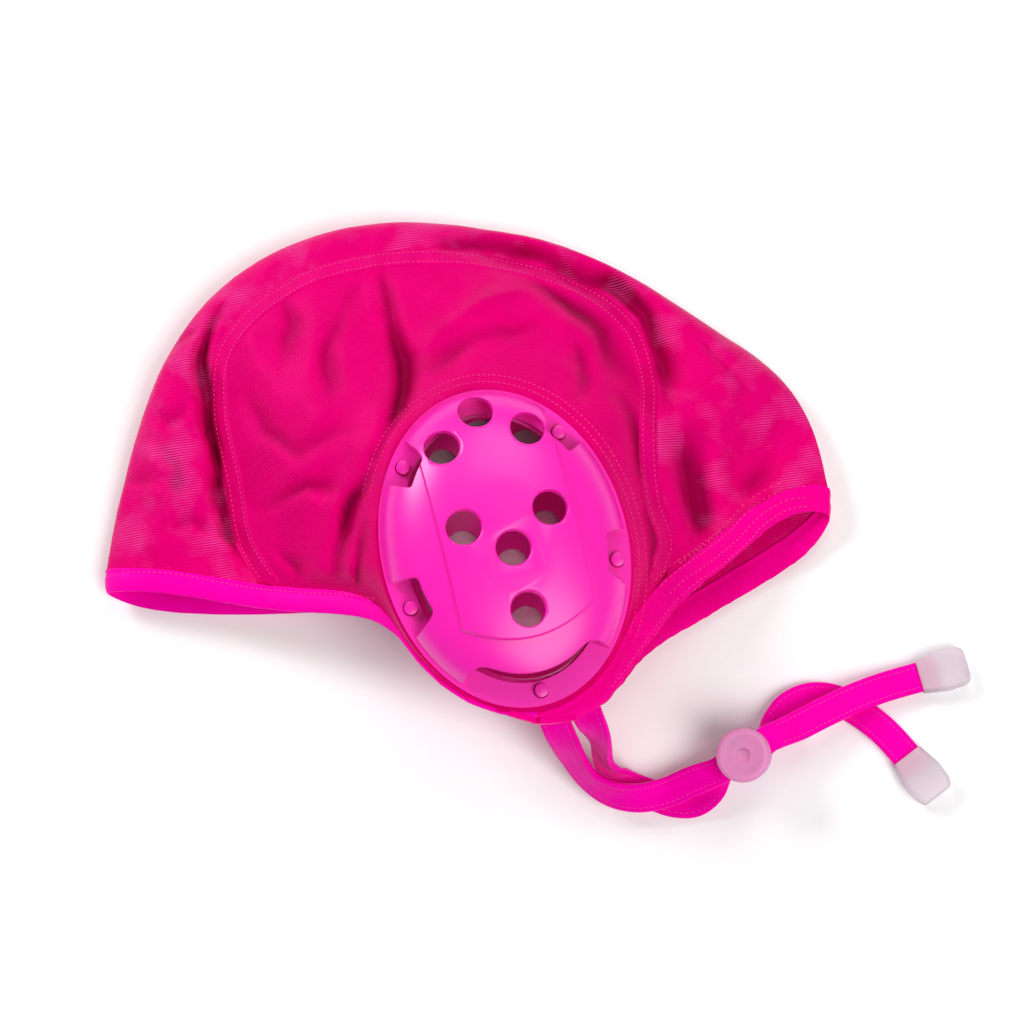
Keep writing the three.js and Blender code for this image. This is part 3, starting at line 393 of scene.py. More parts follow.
def knit_material(name, colour, rib, turn, shine, relief=0.2, along="Object", glint=0.0):
    """Nylon and elastane tricot: fine ribs, with painted glints on their crests and painted shade in
    the creases.
    """
    made, tree, principled = new_material(
        name,
        {
            "Roughness": 0.46,
            "IOR": 1.5,
            "Sheen Weight": 0.02,
            "Sheen Roughness": 0.4,
            "Sheen Tint": rgb("FF10B0"),
            "Specular IOR Level": shine,
            "Specular Tint": rgb("FF10B8"),
        },
    )
    place = add(tree, "ShaderNodeTexCoord").outputs[along]
    turned = add(
        tree, "ShaderNodeMapping", {"Rotation": (0, 0, math.radians(turn))}, {"Vector": place}
    ).outputs[0]
    # One rib of the knit in each period of the wave.
    ribs = add(
        tree,
        "ShaderNodeTexWave",
        {"Scale": 0.314 / rib, "Distortion": 0.6, "Detail": 1.0, "Detail Scale": 2.0},
        {"Vector": turned},
    )
    # Patches 12 mm across, where the cloth is stretched a little more: a small change of tone there,
    # and the places of the painted glints.
    patches = add(
        tree, "ShaderNodeTexNoise", {"Scale": 80.0, "Detail": 3.0}, {"Vector": place}
    )
    loops = add(
        tree, "ShaderNodeTexNoise", {"Scale": 1600.0, "Detail": 2.0}, {"Vector": turned}
    )
    # Painted shade in the creases: the amount that fold_cloth stores, larger deep in the folds.
    fold = add(tree, "ShaderNodeAttribute", {"attribute_name": "fold"})
    tone = add(
        tree,
        "ShaderNodeMapRange",
        {"From Min": 0.3, "From Max": 0.7, "To Min": 0.0, "To Max": 0.14},
        {"Value": patches.outputs["Fac"]},
    )
    # Random tone plus the painted crease shade.
    tone_and_crease_shade = add(
        tree,
        "ShaderNodeMath",
        {"operation": "ADD", "use_clamp": True},
        {0: tone.outputs[0], 1: fold.outputs["Fac"]},
    )
    mixed = add(
        tree,
        "ShaderNodeMix",
        {"data_type": "RGBA"},
        {"Factor": tone_and_crease_shade.outputs[0]},
    )
    mixed.inputs[6].default_value = colour
    # The darker, deeper magenta of the painted crease shade, which the random tone also reaches a
    # little.
    mixed.inputs[7].default_value = [colour[0] * 0.32, 0.0, colour[2] * 0.2, 1.0]
    # Painted highlight: glints on the rib crests, in the patches where the cloth is pulled tight.
    tight = add(
        tree,
        "ShaderNodeMapRange",
        {"From Min": 0.48, "From Max": 0.74, "To Min": 0.0, "To Max": glint},
        {"Value": patches.outputs["Fac"]},
    )
    crests = add(
        tree,
        "ShaderNodeMapRange",
        {"From Min": 0.45, "From Max": 0.95, "To Min": 0.0, "To Max": 1.0},
        {"Value": ribs.outputs["Fac"]},
    )
    painted_glint = add(
        tree,
        "ShaderNodeMath",
        {"operation": "MULTIPLY", "use_clamp": True},
        {0: tight.outputs[0], 1: crests.outputs[0]},
    )
    lit = add(
        tree,
        "ShaderNodeMix",
        {"data_type": "RGBA"},
        {"Factor": painted_glint.outputs[0], 6: mixed.outputs[2]},
    )
    # Colour of the painted glints.
    lit.inputs[7].default_value = rgb("FF70D0")
    height = add(
        tree,
        "ShaderNodeMath",
        {"operation": "MULTIPLY_ADD", 1: 0.5},
        {0: loops.outputs["Fac"], 2: ribs.outputs["Fac"]},
    )
    bump = add(
        tree,
        "ShaderNodeBump",
        {"Strength": 0.5, "Distance": relief * MM},
        {"Height": height.outputs[0]},
    )
    tree.links.new(lit.outputs[2], principled.inputs["Base Color"])
    tree.links.new(bump.outputs[0], principled.inputs["Normal"])
    return made


def plastic_material(name, colour):
    """Injection-moulded polypropylene: an even colour with a soft gloss and a faint grain."""
    made, tree, principled = new_material(
        name,
        {
            "Roughness": 0.33,
            "IOR": 1.49,
            "Specular IOR Level": 0.55,
        },
    )
    place = add(tree, "ShaderNodeTexCoord").outputs["Object"]
    flow = add(tree, "ShaderNodeTexNoise", {"Scale": 45.0, "Detail": 2.0}, {"Vector": place})
    grain = add(tree, "ShaderNodeTexNoise", {"Scale": 1400.0, "Detail": 2.0}, {"Vector": place})
    mixed = add(tree, "ShaderNodeMix", {"data_type": "RGBA"}, {"Factor": flow.outputs["Fac"]})
    mixed.inputs[6].default_value = shaded(colour, 0.93)
    mixed.inputs[7].default_value = colour
    bump = add(
        tree,
        "ShaderNodeBump",
        {"Strength": 0.12, "Distance": 0.0001},
        {"Height": grain.outputs["Fac"]},
    )
    tree.links.new(mixed.outputs[2], principled.inputs["Base Color"])
    tree.links.new(bump.outputs[0], principled.inputs["Normal"])
    return made


def frosted_material(name, colour, clear):
    """Frosted soft polymer: milky and translucent, so the tie inside tints it."""
    made, tree, principled = new_material(
        name,
        {
            "Base Color": colour,
            "Roughness": 0.34,
            "IOR": 1.4,
            "Transmission Weight": clear,
            "Subsurface Weight": 0.6,
            "Subsurface Radius": (0.004, 0.004, 0.004),
            "Subsurface Scale": 0.6,
            "Specular IOR Level": 0.4,
        },
    )
    place = add(tree, "ShaderNodeTexCoord").outputs["Object"]
    frost = add(tree, "ShaderNodeTexNoise", {"Scale": 900.0, "Detail": 2.0}, {"Vector": place})
    bump = add(
        tree,
        "ShaderNodeBump",
        {"Strength": 0.2, "Distance": 0.0001},
        {"Height": frost.outputs["Fac"]},
    )
    tree.links.new(bump.outputs[0], principled.inputs["Normal"])
    return made


def thread_material(name, colour):
    """Polyester sewing thread: twisted, a little shiny."""
    made, tree, principled = new_material(
        name, {"Base Color": colour, "Roughness": 0.5, "Sheen Weight": 0.3}
    )
    place = add(tree, "ShaderNodeTexCoord").outputs["Object"]
    twist = add(tree, "ShaderNodeTexNoise", {"Scale": 4000.0}, {"Vector": place})
    bump = add(
        tree,
        "ShaderNodeBump",
        {"Strength": 0.3, "Distance": 0.0001},
        {"Height": twist.outputs["Fac"]},
    )
    tree.links.new(bump.outputs[0], principled.inputs["Normal"])
    return made


def floor_material(name):
    """Matt white background paper."""
    made, tree, principled = new_material(
        name, {"Roughness": 0.9, "Specular IOR Level": 0.1}
    )
    place = add(tree, "ShaderNodeTexCoord").outputs["Object"]
    fibre = add(tree, "ShaderNodeTexNoise", {"Scale": 300.0}, {"Vector": place})
    mixed = add(tree, "ShaderNodeMix", {"data_type": "RGBA"}, {"Factor": fibre.outputs["Fac"]})
    mixed.inputs[6].default_value = rgb("FBFBFC")
    mixed.inputs[7].default_value = rgb("FFFFFF")
    tree.links.new(mixed.outputs[2], principled.inputs["Base Color"])
    return made


def finish(name):
    """The material of a name, made on first use."""
    if name in bpy.data.materials:
        return bpy.data.materials[name]
    look = settings()
    makers = {
        "knitted_tricot": lambda: knit_material(
            name, look.cloth, look.rib, 82, 0.2, 0.1
        ),
        # The crown's knit, with painted glints on its ribs.
        "glossy_tricot": lambda: knit_material(
            name, look.cloth, look.rib, 82, 0.26, 0.16, glint=0.45
        ),
        "satin_binding": lambda: knit_material(
            name, look.edging, look.rib * 0.7, 90, 0.6, 0.08, "UV"
        ),
        "gathered_elastic": lambda: knit_material(
            name, look.casing, look.rib * 1.3, 0, 0.45, 0.26, "UV"
        ),
        "seam_allowance": lambda: knit_material(
            name, look.cloth, look.rib * 0.9, 0, 0.5, 0.15, "UV"
        ),
        "woven_tie": lambda: knit_material(name, look.edging, look.rib * 0.8, 90, 0.5, 0.1, "UV"),
        "moulded_polypropylene": lambda: plastic_material(name, look.guard),
        "frosted_polymer": lambda: frosted_material(name, look.frosted, 0.6),
        "frosted_lock": lambda: frosted_material(name, look.lock, 0.4),
        "polyester_thread": lambda: thread_material(name, rgb("EC2088")),
        "background_paper": lambda: floor_material(name),
    }
    return makers[name]()


# Mesh helpers


def select_only(obj):
    bpy.ops.object.select_all(action="DESELECT")
    obj.select_set(True)
    bpy.context.view_layer.objects.active = obj


def settle(obj):
    """Puts the object's place, turn and size into its mesh."""
    select_only(obj)
    bpy.ops.object.transform_apply(location=True, rotation=True, scale=True)


def apply_modifiers(obj):
    select_only(obj)
    for modifier in list(obj.modifiers):
        bpy.ops.object.modifier_apply(modifier=modifier.name)


def smooth(obj, angle=35):
    select_only(obj)
    bpy.ops.object.shade_smooth_by_angle(angle=math.radians(angle))


def dress(obj, name, material, body="cap"):
    """Names a finished piece and gives it its material and the body that it rides on."""
    obj.name = name
    obj.data.name = name
    obj.data.materials.clear()
    obj.data.materials.append(finish(material))
    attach(obj, body)
    return obj


def mesh_object(name, points, faces):
    mesh = bpy.data.meshes.new(name)
    mesh.from_pydata([tuple(p) for p in points], [], faces)
    mesh.update()
    obj = bpy.data.objects.new(name, mesh)
    bpy.context.scene.collection.objects.link(obj)
    return obj


def copy_of_node(node):
    """The solid of a node as quads, its doubled corners merged."""
    source = bpy.data.objects[node]
    obj = bpy.data.objects.new(node + "_cloth", source.data.copy())
    bpy.context.scene.collection.objects.link(obj)
    obj.matrix_world = source.matrix_world.copy()
    settle(obj)
    bpy.ops.object.mode_set(mode="EDIT")
    bpy.ops.mesh.select_all(action="SELECT")
    bpy.ops.mesh.remove_doubles(threshold=0.02 * MM)
    bpy.ops.mesh.tris_convert_to_quads(
        face_threshold=math.radians(60), shape_threshold=math.radians(80)
    )
    bpy.ops.object.mode_set(mode="OBJECT")
    return obj


def subdivide(obj, levels, crease=50):
    """Catmull-Clark rounds with the cut edges of the cloth kept crisp."""
    mesh = obj.data
    form = bmesh.new()
    form.from_mesh(mesh)
    layer = form.edges.layers.float.get("crease_edge") or form.edges.layers.float.new("crease_edge")
    for edge in form.edges:
        if len(edge.link_faces) == 2 and edge.calc_face_angle(0) > math.radians(crease):
            edge[layer] = 0.9
    form.to_mesh(mesh)
    form.free()
    modifier = obj.modifiers.new("rounding", "SUBSURF")
    modifier.levels = levels
    modifier.render_levels = levels
    apply_modifiers(obj)


def turned_form(name, profile, sides):
    """A round solid made by hand: a circle extruded and resized through a profile of (r, z)."""
    bpy.ops.object.select_all(action="DESELECT")
    radius, height = profile[0]
    bpy.ops.mesh.primitive_circle_add(
        vertices=sides, radius=radius * MM, fill_type="NGON", location=(0, 0, height * MM)
    )
    obj = bpy.context.object
    settle(obj)
    bpy.ops.object.mode_set(mode="EDIT")
    bpy.ops.mesh.select_all(action="SELECT")
    first = True
    for next_radius, next_height in profile[1:]:
        if first:
            bpy.ops.mesh.select_mode(type="EDGE")
            bpy.ops.mesh.region_to_loop()
            first = False
        bpy.ops.mesh.extrude_edges_move(
            TRANSFORM_OT_translate={"value": (0, 0, (next_height - height) * MM)}
        )
        share = next_radius / radius
        bpy.ops.transform.resize(value=(share, share, 1))
        radius, height = next_radius, next_height
    bpy.ops.mesh.edge_face_add()
    bpy.ops.mesh.select_all(action="SELECT")
    bpy.ops.mesh.normals_make_consistent(inside=False)
    bpy.ops.object.mode_set(mode="OBJECT")
    obj.name = name
    return obj


def solid_through(name, rings):
    """A closed solid through rings of points in millimetres, from one end to the other."""
    count = len(rings[0])
    faces = [tuple(range(count - 1, -1, -1))]
    for i in range(len(rings) - 1):
        a = i * count
        for j in range(count):
            k = (j + 1) % count
            faces.append((a + j, a + k, a + count + k, a + count + j))
    faces.append(tuple(range((len(rings) - 1) * count, len(rings) * count)))
    obj = mesh_object(name, [Vector(p) * MM for ring in rings for p in ring], faces)
    select_only(obj)
    bpy.ops.object.mode_set(mode="EDIT")
    bpy.ops.mesh.select_all(action="SELECT")
    bpy.ops.mesh.normals_make_consistent(inside=False)
    bpy.ops.object.mode_set(mode="OBJECT")
    return obj


def prism(name, outline, low, high):
    """A flat outline in millimetres, extruded from one height to another."""
    obj = mesh_object(
        name, [(x * MM, y * MM, low * MM) for x, y in outline], [tuple(range(len(outline)))]
    )
    select_only(obj)
    bpy.ops.object.mode_set(mode="EDIT")
    bpy.ops.mesh.select_all(action="SELECT")
    bpy.ops.mesh.extrude_region_move(
        TRANSFORM_OT_translate={"value": (0, 0, (high - low) * MM)}
    )
    bpy.ops.mesh.select_all(action="SELECT")
    bpy.ops.mesh.normals_make_consistent(inside=False)
    bpy.ops.object.mode_set(mode="OBJECT")
    return obj


def post(x, y, radius, low, high, sides=48):
    bpy.ops.object.select_all(action="DESELECT")
    bpy.ops.mesh.primitive_cylinder_add(
        vertices=sides,
        radius=radius * MM,
        depth=(high - low) * MM,
        location=(x * MM, y * MM, (low + high) / 2 * MM),
    )
    obj = bpy.context.object
    settle(obj)
    return obj


def combine(obj, tool, operation):
    """Joins, cuts or keeps what is common with another solid, which is used up."""
    modifier = obj.modifiers.new("combine", "BOOLEAN")
    modifier.object = tool
    modifier.operation = operation
    modifier.solver = "EXACT"
    apply_modifiers(obj)
    bpy.data.objects.remove(tool, do_unlink=True)
    return obj


def lay_uv(obj, places):
    """Gives each vertex its place along and across the cloth, in metres."""
    layer = obj.data.uv_layers.new(name="along")
    for loop in obj.data.loops:
        layer.data[loop.index].uv = places[loop.vertex_index]


def surface_of(names):
    """A search tree over the surfaces of some objects."""
    points, faces = [], []
    for name in names:
        obj = bpy.data.objects[name]
        start = len(points)
        points += [obj.matrix_world @ vertex.co for vertex in obj.data.vertices]
        faces += [[start + i for i in face.vertices] for face in obj.data.polygons]
    return BVHTree.FromPolygons(points, faces)


def on_surface(tree, place, above):
    """The place dropped on a surface from above, or raised to it from below; None beside it."""
    start = Vector((place.x, place.y, 150 if above else -10)) * MM
    hit = tree.ray_cast(start, Vector((0, 0, -1 if above else 1)))[0]
    return hit / MM if hit else None


class Thread:
    """Gathers the stitches of one piece: short rounded lengths of thread, sunk halfway."""

    def __init__(self):
        self.points = []
        self.faces = []

    def sew(self, a, b, rise):
        radius = settings().thread / 2
        way = (b - a).normalized()
        side = way.cross(rise).normalized()
        top = side.cross(way)
        start = len(self.points)
        sides = 6
        for at, share in ((0, 0.3), (0.15, 0.85), (0.85, 0.85), (1, 0.3)):
            centre = a.lerp(b, at) - top * radius * (1 - share)
            for k in range(sides):
                turn = 2 * math.pi * k / sides
                offset = side * math.cos(turn) + top * math.sin(turn)
                self.points.append(centre + offset * radius * share)
        for i in range(3):
            for k in range(sides):
                row, n = start + i * sides, (k + 1) % sides
                self.faces.append((row + k, row + n, row + sides + n, row + sides + k))
        self.faces.append(tuple(start + k for k in reversed(range(sides))))
        self.faces.append(tuple(start + 3 * sides + k for k in range(sides)))

    def row(self, line, tree, above, offset, start=0.0, stop=1.0, zigzag=0.0):
        """A row of stitches on a surface, beside a line, between two shares of its length."""
        pitch = settings().stitch / MM
        count = int(line.lengths[-1] * (stop - start) / pitch)
        for i in range(count):
            ends = []
            for at in (0.25, 0.75):
                point, across, _, _ = line.frame(start + (stop - start) * (i + at) / count)
                swing = zigzag if (at > 0.5) == (i % 2 == 0) else -zigzag
                ends.append(on_surface(tree, point + across * (offset + swing), above))
            if None in ends or abs(ends[0].z - ends[1].z) > pitch:
                continue
            lift = Vector((0, 0, 0.06 if above else -0.02))
            self.sew((ends[0] + lift) * MM, (ends[1] + lift) * MM, Vector((0, 0, 1)))

    def finish(self, name, slot):
        obj = mesh_object(name, self.points, self.faces)
        select_only(obj)
        bpy.ops.object.mode_set(mode="EDIT")
        bpy.ops.mesh.select_all(action="SELECT")
        bpy.ops.mesh.normals_make_consistent(inside=False)
        bpy.ops.object.mode_set(mode="OBJECT")
        smooth(obj, 60)
        return dress(obj, name, "polyester_thread")


# Ear guards


def guard_matrix(side):
    base = GUARD_HEIGHT + (HEAD_GAP if side == "near" else 0)
    x, y = GUARD_CENTRE[side]
    roll = math.radians(NEAR_GUARD_ROLL) if side == "near" else math.pi
    return (
        Matrix.Translation(Vector((x * CAP_LENGTH, y * CAP_DEPTH, base)) * MM)
        @ Matrix.Rotation(math.radians(GUARD_TURN), 4, "Z")
        @ Matrix.Rotation(roll, 4, "Y")
    )


def rim_point(share, angle):
    turn = math.radians(angle)
    return (share * GUARD_WIDTH / 2 * math.cos(turn), share * GUARD_LENGTH / 2 * math.sin(turn))


def oval(inset_x, inset_y, sides):
    half = (GUARD_WIDTH / 2 - inset_x, GUARD_LENGTH / 2 - inset_y)
    turns = [2 * math.pi * i / sides for i in range(sides)]
    return [(half[0] * math.cos(t), half[1] * math.sin(t)) for t in turns]


def dome_height(x, y, half_width, half_length, foot, high):
    """Height of a cup's outside over a place, in millimetres."""
    share = min(math.hypot(x / half_width, y / half_length), 1)
    return foot + (high - foot) * math.sin(math.acos(share ** (1 / 0.86))) ** 0.92


def dome(name, half_width, half_length, low, high, lip, sides):
    """The outside or inside of a cup."""
    steps = 22
    profile = []
    if lip > 0:
        profile += [(1 + lip / half_length, low), (1 + lip / half_length, low + lip)]
    else:
        profile += [(1, low)]
    foot = low + lip
    for i in range(0 if lip > 0 else 1, steps):
        turn = math.pi / 2 * i / steps
        profile.append((math.cos(turn) ** 0.86, foot + (high - foot) * math.sin(turn) ** 0.92))
    obj = turned_form(name, profile, sides)
    obj.scale = (half_width, half_length, 1)
    settle(obj)
    return obj


def panel_outline(grow):
    """Outline of the raised panel, grown by some millimetres, anticlockwise."""
    half = PANEL_WIDTH / 2 + grow
    foot = -0.46 * GUARD_LENGTH / 2 - grow
    bow = 0.14 * GUARD_LENGTH / 2
    head = GUARD_LENGTH / 2 + 2
    steps = 40
    points = [(half * (2 * i / 24 - 1), foot - 4 * bow * i / 24 * (1 - i / 24)) for i in range(25)]
    points += [(half, foot + (head - foot) * i / steps) for i in range(1, steps + 1)]
    points += [(-half, foot + (head - foot) * (1 - i / steps)) for i in range(steps)]
    return points


def panel_tool(outer, raised, low, high):
    """The block that keeps the raised panel, with a slanted step that follows the dome."""
    wide, tight = panel_outline(PANEL_STEP), panel_outline(0)
    return solid_through(
        "panel",
        (
            [(x, y, low) for x, y in wide],
            [(x, y, max(dome_height(x, y, *outer) - 0.15, low + 0.2)) for x, y in wide],
            [(x, y, max(dome_height(x, y, *raised) + 0.02, low + 0.4)) for x, y in tight],
            [(x, y, high) for x, y in tight],
        ),
    )


def vent_tool(x, y, raised, low, high):
    """Cuts a vent with a rounded upper edge that follows the dome."""
    sides = 64
    rings = [[], [], [], [], [], []]
    for i in range(sides):
        turn = 2 * math.pi * i / sides
        way = (math.cos(turn), math.sin(turn))
        edge = (x + VENT_RADIUS * way[0], y + VENT_RADIUS * way[1])
        top = min(dome_height(*edge, *raised), GUARD_HEIGHT)
        for ring, (grow, rise) in zip(
            rings, ((0, None), (0, -0.9), (0.12, -0.45), (0.4, -0.12), (0.95, 0.12), (0.95, None))
        ):
            height = top + rise if rise is not None else (low if ring is rings[0] else high)
            radius = VENT_RADIUS + grow
            ring.append((x + radius * way[0], y + radius * way[1], height))
    return solid_through("vent", rings)


def notch_outline(angle, outer, inner, reach):
    """A notch with rounded inner corners."""
    steps = 12
    points = [rim_point(1.12, angle + outer * i / steps) for i in range(-steps, steps + 1)]
    for i in range(-steps, steps + 1):
        turn = -i / steps
        corner = 1 - math.sqrt(max(1 - max(abs(turn) - 0.7, 0) ** 2 / 0.09, 0))
        points.append(rim_point(reach + 0.06 * corner, angle + inner * turn))
    return points


def make_cup(sides):
    half_width = GUARD_WIDTH / 2 - CUP_LIP
    half_length = GUARD_LENGTH / 2 - CUP_LIP
    ledge = CUP_BASE + CUP_FLANGE_THICKNESS
    lower = GUARD_HEIGHT - PANEL_RISE
    cup = dome("cup", half_width, half_length, CUP_BASE, lower, CUP_LIP, sides)
    high = GUARD_HEIGHT + PANEL_FLAT
    raised = dome("raised", half_width + PANEL_RISE, half_length, CUP_BASE, high, 0, sides)
    outside = (half_width, half_length, CUP_BASE + CUP_LIP, lower)
    raised_form = (half_width + PANEL_RISE, half_length, CUP_BASE, high)
    tool = panel_tool(outside, raised_form, ledge + 2, high + 1)
    combine(raised, tool, "INTERSECT")
    flat = prism("flat", oval(-2, -2, 48), GUARD_HEIGHT, high + 2)
    combine(raised, flat, "DIFFERENCE")
    combine(cup, raised, "UNION")
    top = GUARD_HEIGHT - PANEL_RISE - CUP_WALL
    inside = (half_width - CUP_WALL, half_length - CUP_WALL)
    combine(cup, dome("hollow", *inside, CUP_BASE - 1, top, 0, sides), "DIFFERENCE")
    for notch in NOTCHES:
        tool = prism("notch", notch_outline(*notch), ledge - 0.4, GUARD_HEIGHT + 1)
        combine(cup, tool, "DIFFERENCE")
    ledge_ring = prism("ledge", oval(0.2, 0.2, sides), CUP_BASE, ledge)
    inner = prism("inner", oval(CUP_FLANGE, CUP_FLANGE, sides), CUP_BASE - 1, ledge + 1)
    combine(cup, combine(ledge_ring, inner, "DIFFERENCE"), "UNION")
    for x, y in VENTS:
        at = (x * GUARD_WIDTH / 2, y * GUARD_LENGTH / 2)
        combine(cup, vent_tool(*at, raised_form, ledge + 1, high + 2), "DIFFERENCE")
    for notch in NOTCHES:
        tool = post(*peg_place(notch[0]), PEG_RADIUS + PEG_CLEARANCE, CUP_BASE - 1, ledge + 1)
        combine(cup, tool, "DIFFERENCE")
    return cup


def peg_place(angle):
    turn = math.radians(angle)
    half = (GUARD_WIDTH / 2 - 0.6 * CUP_FLANGE, GUARD_LENGTH / 2 - 0.6 * CUP_FLANGE)
    return half[0] * math.cos(turn), half[1] * math.sin(turn)


def round_edges(obj, width, segments, angle):
    modifier = obj.modifiers.new("rounded edges", "BEVEL")
    modifier.width = width * MM
    modifier.segments = segments
    modifier.limit_method = "ANGLE"
    modifier.angle_limit = math.radians(angle)
    modifier.use_clamp_overlap = True
    apply_modifiers(obj)


def make_ring(sides):
    ring = prism("ring", oval(0.4, 0.4, sides), 0, RING_THICKNESS)
    hole = prism("hole", oval(RING_WIDTH, RING_WIDTH, sides), -1, RING_THICKNESS + 1)
    combine(ring, hole, "DIFFERENCE")
    top = CUP_BASE + CUP_FLANGE_THICKNESS + PEG_HEAD
    for notch in NOTCHES:
        peg = post(*peg_place(notch[0]), PEG_RADIUS, RING_THICKNESS - 0.5, top)
        combine(ring, peg, "UNION")
    round_edges(ring, 0.25, 2, 50)
    return ring


class CAP_OT_ear_guards(bpy.types.Operator):
    """Moulds the domed cups with their vents and slots, and the clamp rings with their pegs"""

    bl_idname = "cap.ear_guards"
    bl_label = "Ear Guards"

    def execute(self, context):
        sides = settings().sides
        models = {"ear_cup": make_cup(sides), "ear_ring": make_ring(sides)}
        for kind, model in models.items():
            smooth(model, 32)
            for side in ("near", "far"):
                piece = bpy.data.objects.new(kind, model.data.copy())
                context.scene.collection.objects.link(piece)
                piece.matrix_world = guard_matrix(side)
                settle(piece)
                dress(piece, f"{kind}_{side}_moulded", "moulded_polypropylene")
                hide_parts(f"{kind}_{side}")
            bpy.data.objects.remove(model, do_unlink=True)
        return {"FINISHED"}


# Chin ties


class Route:
    """A centripetal curve through points, as the solids follow it, with a roll along it."""

    def __init__(self, rows):
        self.points = [Vector(row[:3]) for row in rows]
        self.rolls = [row[3] for row in rows]
        count = 600
        self.samples = [self.at(i / count) for i in range(count + 1)]
        self.lengths = [0.0]
        for a, b in zip(self.samples, self.samples[1:]):
            self.lengths.append(self.lengths[-1] + (b - a).length)

    def at(self, t):
        points = self.points
        last = len(points) - 1
        place = t * last
        i = min(int(place), last - 1)
        w = place - i
        p1, p2 = points[i], points[i + 1]
        p0 = points[i - 1] if i > 0 else 2 * p1 - p2
        p3 = points[i + 2] if i + 2 <= last else 2 * p2 - p1
        d0, d1, d2 = ((b - a).length ** 0.5 for a, b in ((p0, p1), (p1, p2), (p2, p3)))
        m1 = ((p1 - p0) / d0 - (p2 - p0) / (d0 + d1) + (p2 - p1) / d1) * d1
        m2 = ((p2 - p1) / d1 - (p3 - p1) / (d1 + d2) + (p3 - p2) / d2) * d1
        return (
            p1
            + m1 * w
            + (3 * (p2 - p1) - 2 * m1 - m2) * w * w
            + (2 * (p1 - p2) + m1 + m2) * w * w * w
        )

    def share(self, u):
        """The parameter at a share u of the curve's length."""
        target = u * self.lengths[-1]
        low, high = 0, len(self.lengths) - 1
        while high - low > 1:
            middle = (low + high) // 2
            low, high = (middle, high) if self.lengths[middle] < target else (low, middle)
        gap = self.lengths[high] - self.lengths[low]
        return (low + (target - self.lengths[low]) / gap) / (len(self.lengths) - 1)

    def roll(self, t):
        place = t * (len(self.rolls) - 1)
        i = min(int(place), len(self.rolls) - 2)
        return self.rolls[i] + (self.rolls[i + 1] - self.rolls[i]) * (place - i)

    def frame(self, u):
        """The point, the way across and the way up of the tie at a share of its length."""
        t = self.share(u)
        point = self.at(t)
        tangent = (self.at(min(t + 1e-4, 1)) - self.at(max(t - 1e-4, 0))).normalized()
        lie = Quaternion(tangent, math.radians(self.roll(t))) @ Vector((0, 0, 1))
        across = tangent.cross(lie).normalized()
        return point, across, across.cross(tangent).normalized(), tangent


def lock_matrix():
    return (
        Matrix.Translation(Vector(LOCK_AT))
        @ Matrix.Rotation(math.radians(LOCK_TURN), 4, "Z")
        @ Matrix.Rotation(-math.radians(LOCK_LEAN), 4, "Y")
    )


def tie_route(before, level, after):
    low = LOCK_FLOOR + 1 + LOCK_TRAVEL + RUNNING_GAP + TIE_THICKNESS / 2
    height = low + level * (TIE_THICKNESS + RUNNING_GAP)
    held = [lock_matrix() @ Vector((share * LOCK_DIAMETER, 0, height)) for share in (-0.52, 0, 0.52)]
    scaled = [
        [(x * CAP_LENGTH, y * CAP_LENGTH, z * CAP_LENGTH, roll) for x, y, z, roll in rows]
        for rows in (before, after)
    ]
    return Route([*scaled[0], *((*p, 0) for p in held), *scaled[1]])


def tie_width(point):
    slot = SLOT_WIDTH - 2 * RUNNING_GAP
    away = (point - Vector((LOCK_AT[0], LOCK_AT[1], point.z))).length - LOCK_DIAMETER * 0.62
    share = min(max(away / TIE_WIDTH, 0), 1)
    share = share * share * (3 - 2 * share)
    return min(slot, TIE_WIDTH) + (TIE_WIDTH - min(slot, TIE_WIDTH)) * share


# Section of a tie, as shares of its half width and half thickness: two sewn edges and a shallow
# channel along the middle of the face.
TIE_SECTION = (
    (1.0, 0.0),
    (0.985, 0.55),
    (0.93, 0.9),
    (0.8, 0.98),
    (0.7, 0.86),
    (0.55, 0.97),
    (0.3, 0.95),
    (0.08, 0.84),
    (-0.08, 0.84),
    (-0.3, 0.95),
    (-0.55, 0.97),
    (-0.7, 0.86),
    (-0.8, 0.98),
    (-0.93, 0.9),
    (-0.985, 0.55),
    (-1.0, 0.0),
    (-0.985, -0.55),
    (-0.93, -0.9),
    (-0.7, -0.95),
    (0.0, -0.98),
    (0.7, -0.95),
    (0.93, -0.9),
    (0.985, -0.55),
)


def make_tie(name, route):
    """The tie, and the middle line that it follows."""
    stations = 220
    rings, path, places = [], [], []
    for i in range(stations + 1):
        point, across, rise, tangent = route.frame(i / stations)
        half = tie_width(point) / 2
        path.append(point * MM)
        ring = []
        for x, y in TIE_SECTION:
            pucker = 0.06 * noise.noise(Vector((i * 0.35, x * 2, len(name))))
            ring.append(point + across * x * half + rise * (y * TIE_THICKNESS / 2 - abs(pucker)))
            places.append((route.lengths[-1] * i / stations * MM, x * half * MM))
        rings.append(ring)
    obj = solid_through(name, rings)
    lay_uv(obj, places)
    smooth(obj, 60)
    return obj, path


def sew_tie(thread, route):
    """Two rows of stitches on the upper face of a tie, left out inside the lock."""
    count = int(route.lengths[-1] * MM / settings().stitch)
    for i in range(count - 2):
        ends = [route.frame((i + share) / count) for share in (0.15, 0.85)]
        if abs(ends[0][0].x - LOCK_AT[0]) < LOCK_DIAMETER * 0.55:
            continue
        for side in (-0.66, 0.66):
            a, b = (
                point + across * side * tie_width(point) / 2 + rise * TIE_THICKNESS * 0.43
                for point, across, rise, _ in ends
            )
            thread.sew(a * MM, b * MM, ends[0][2])


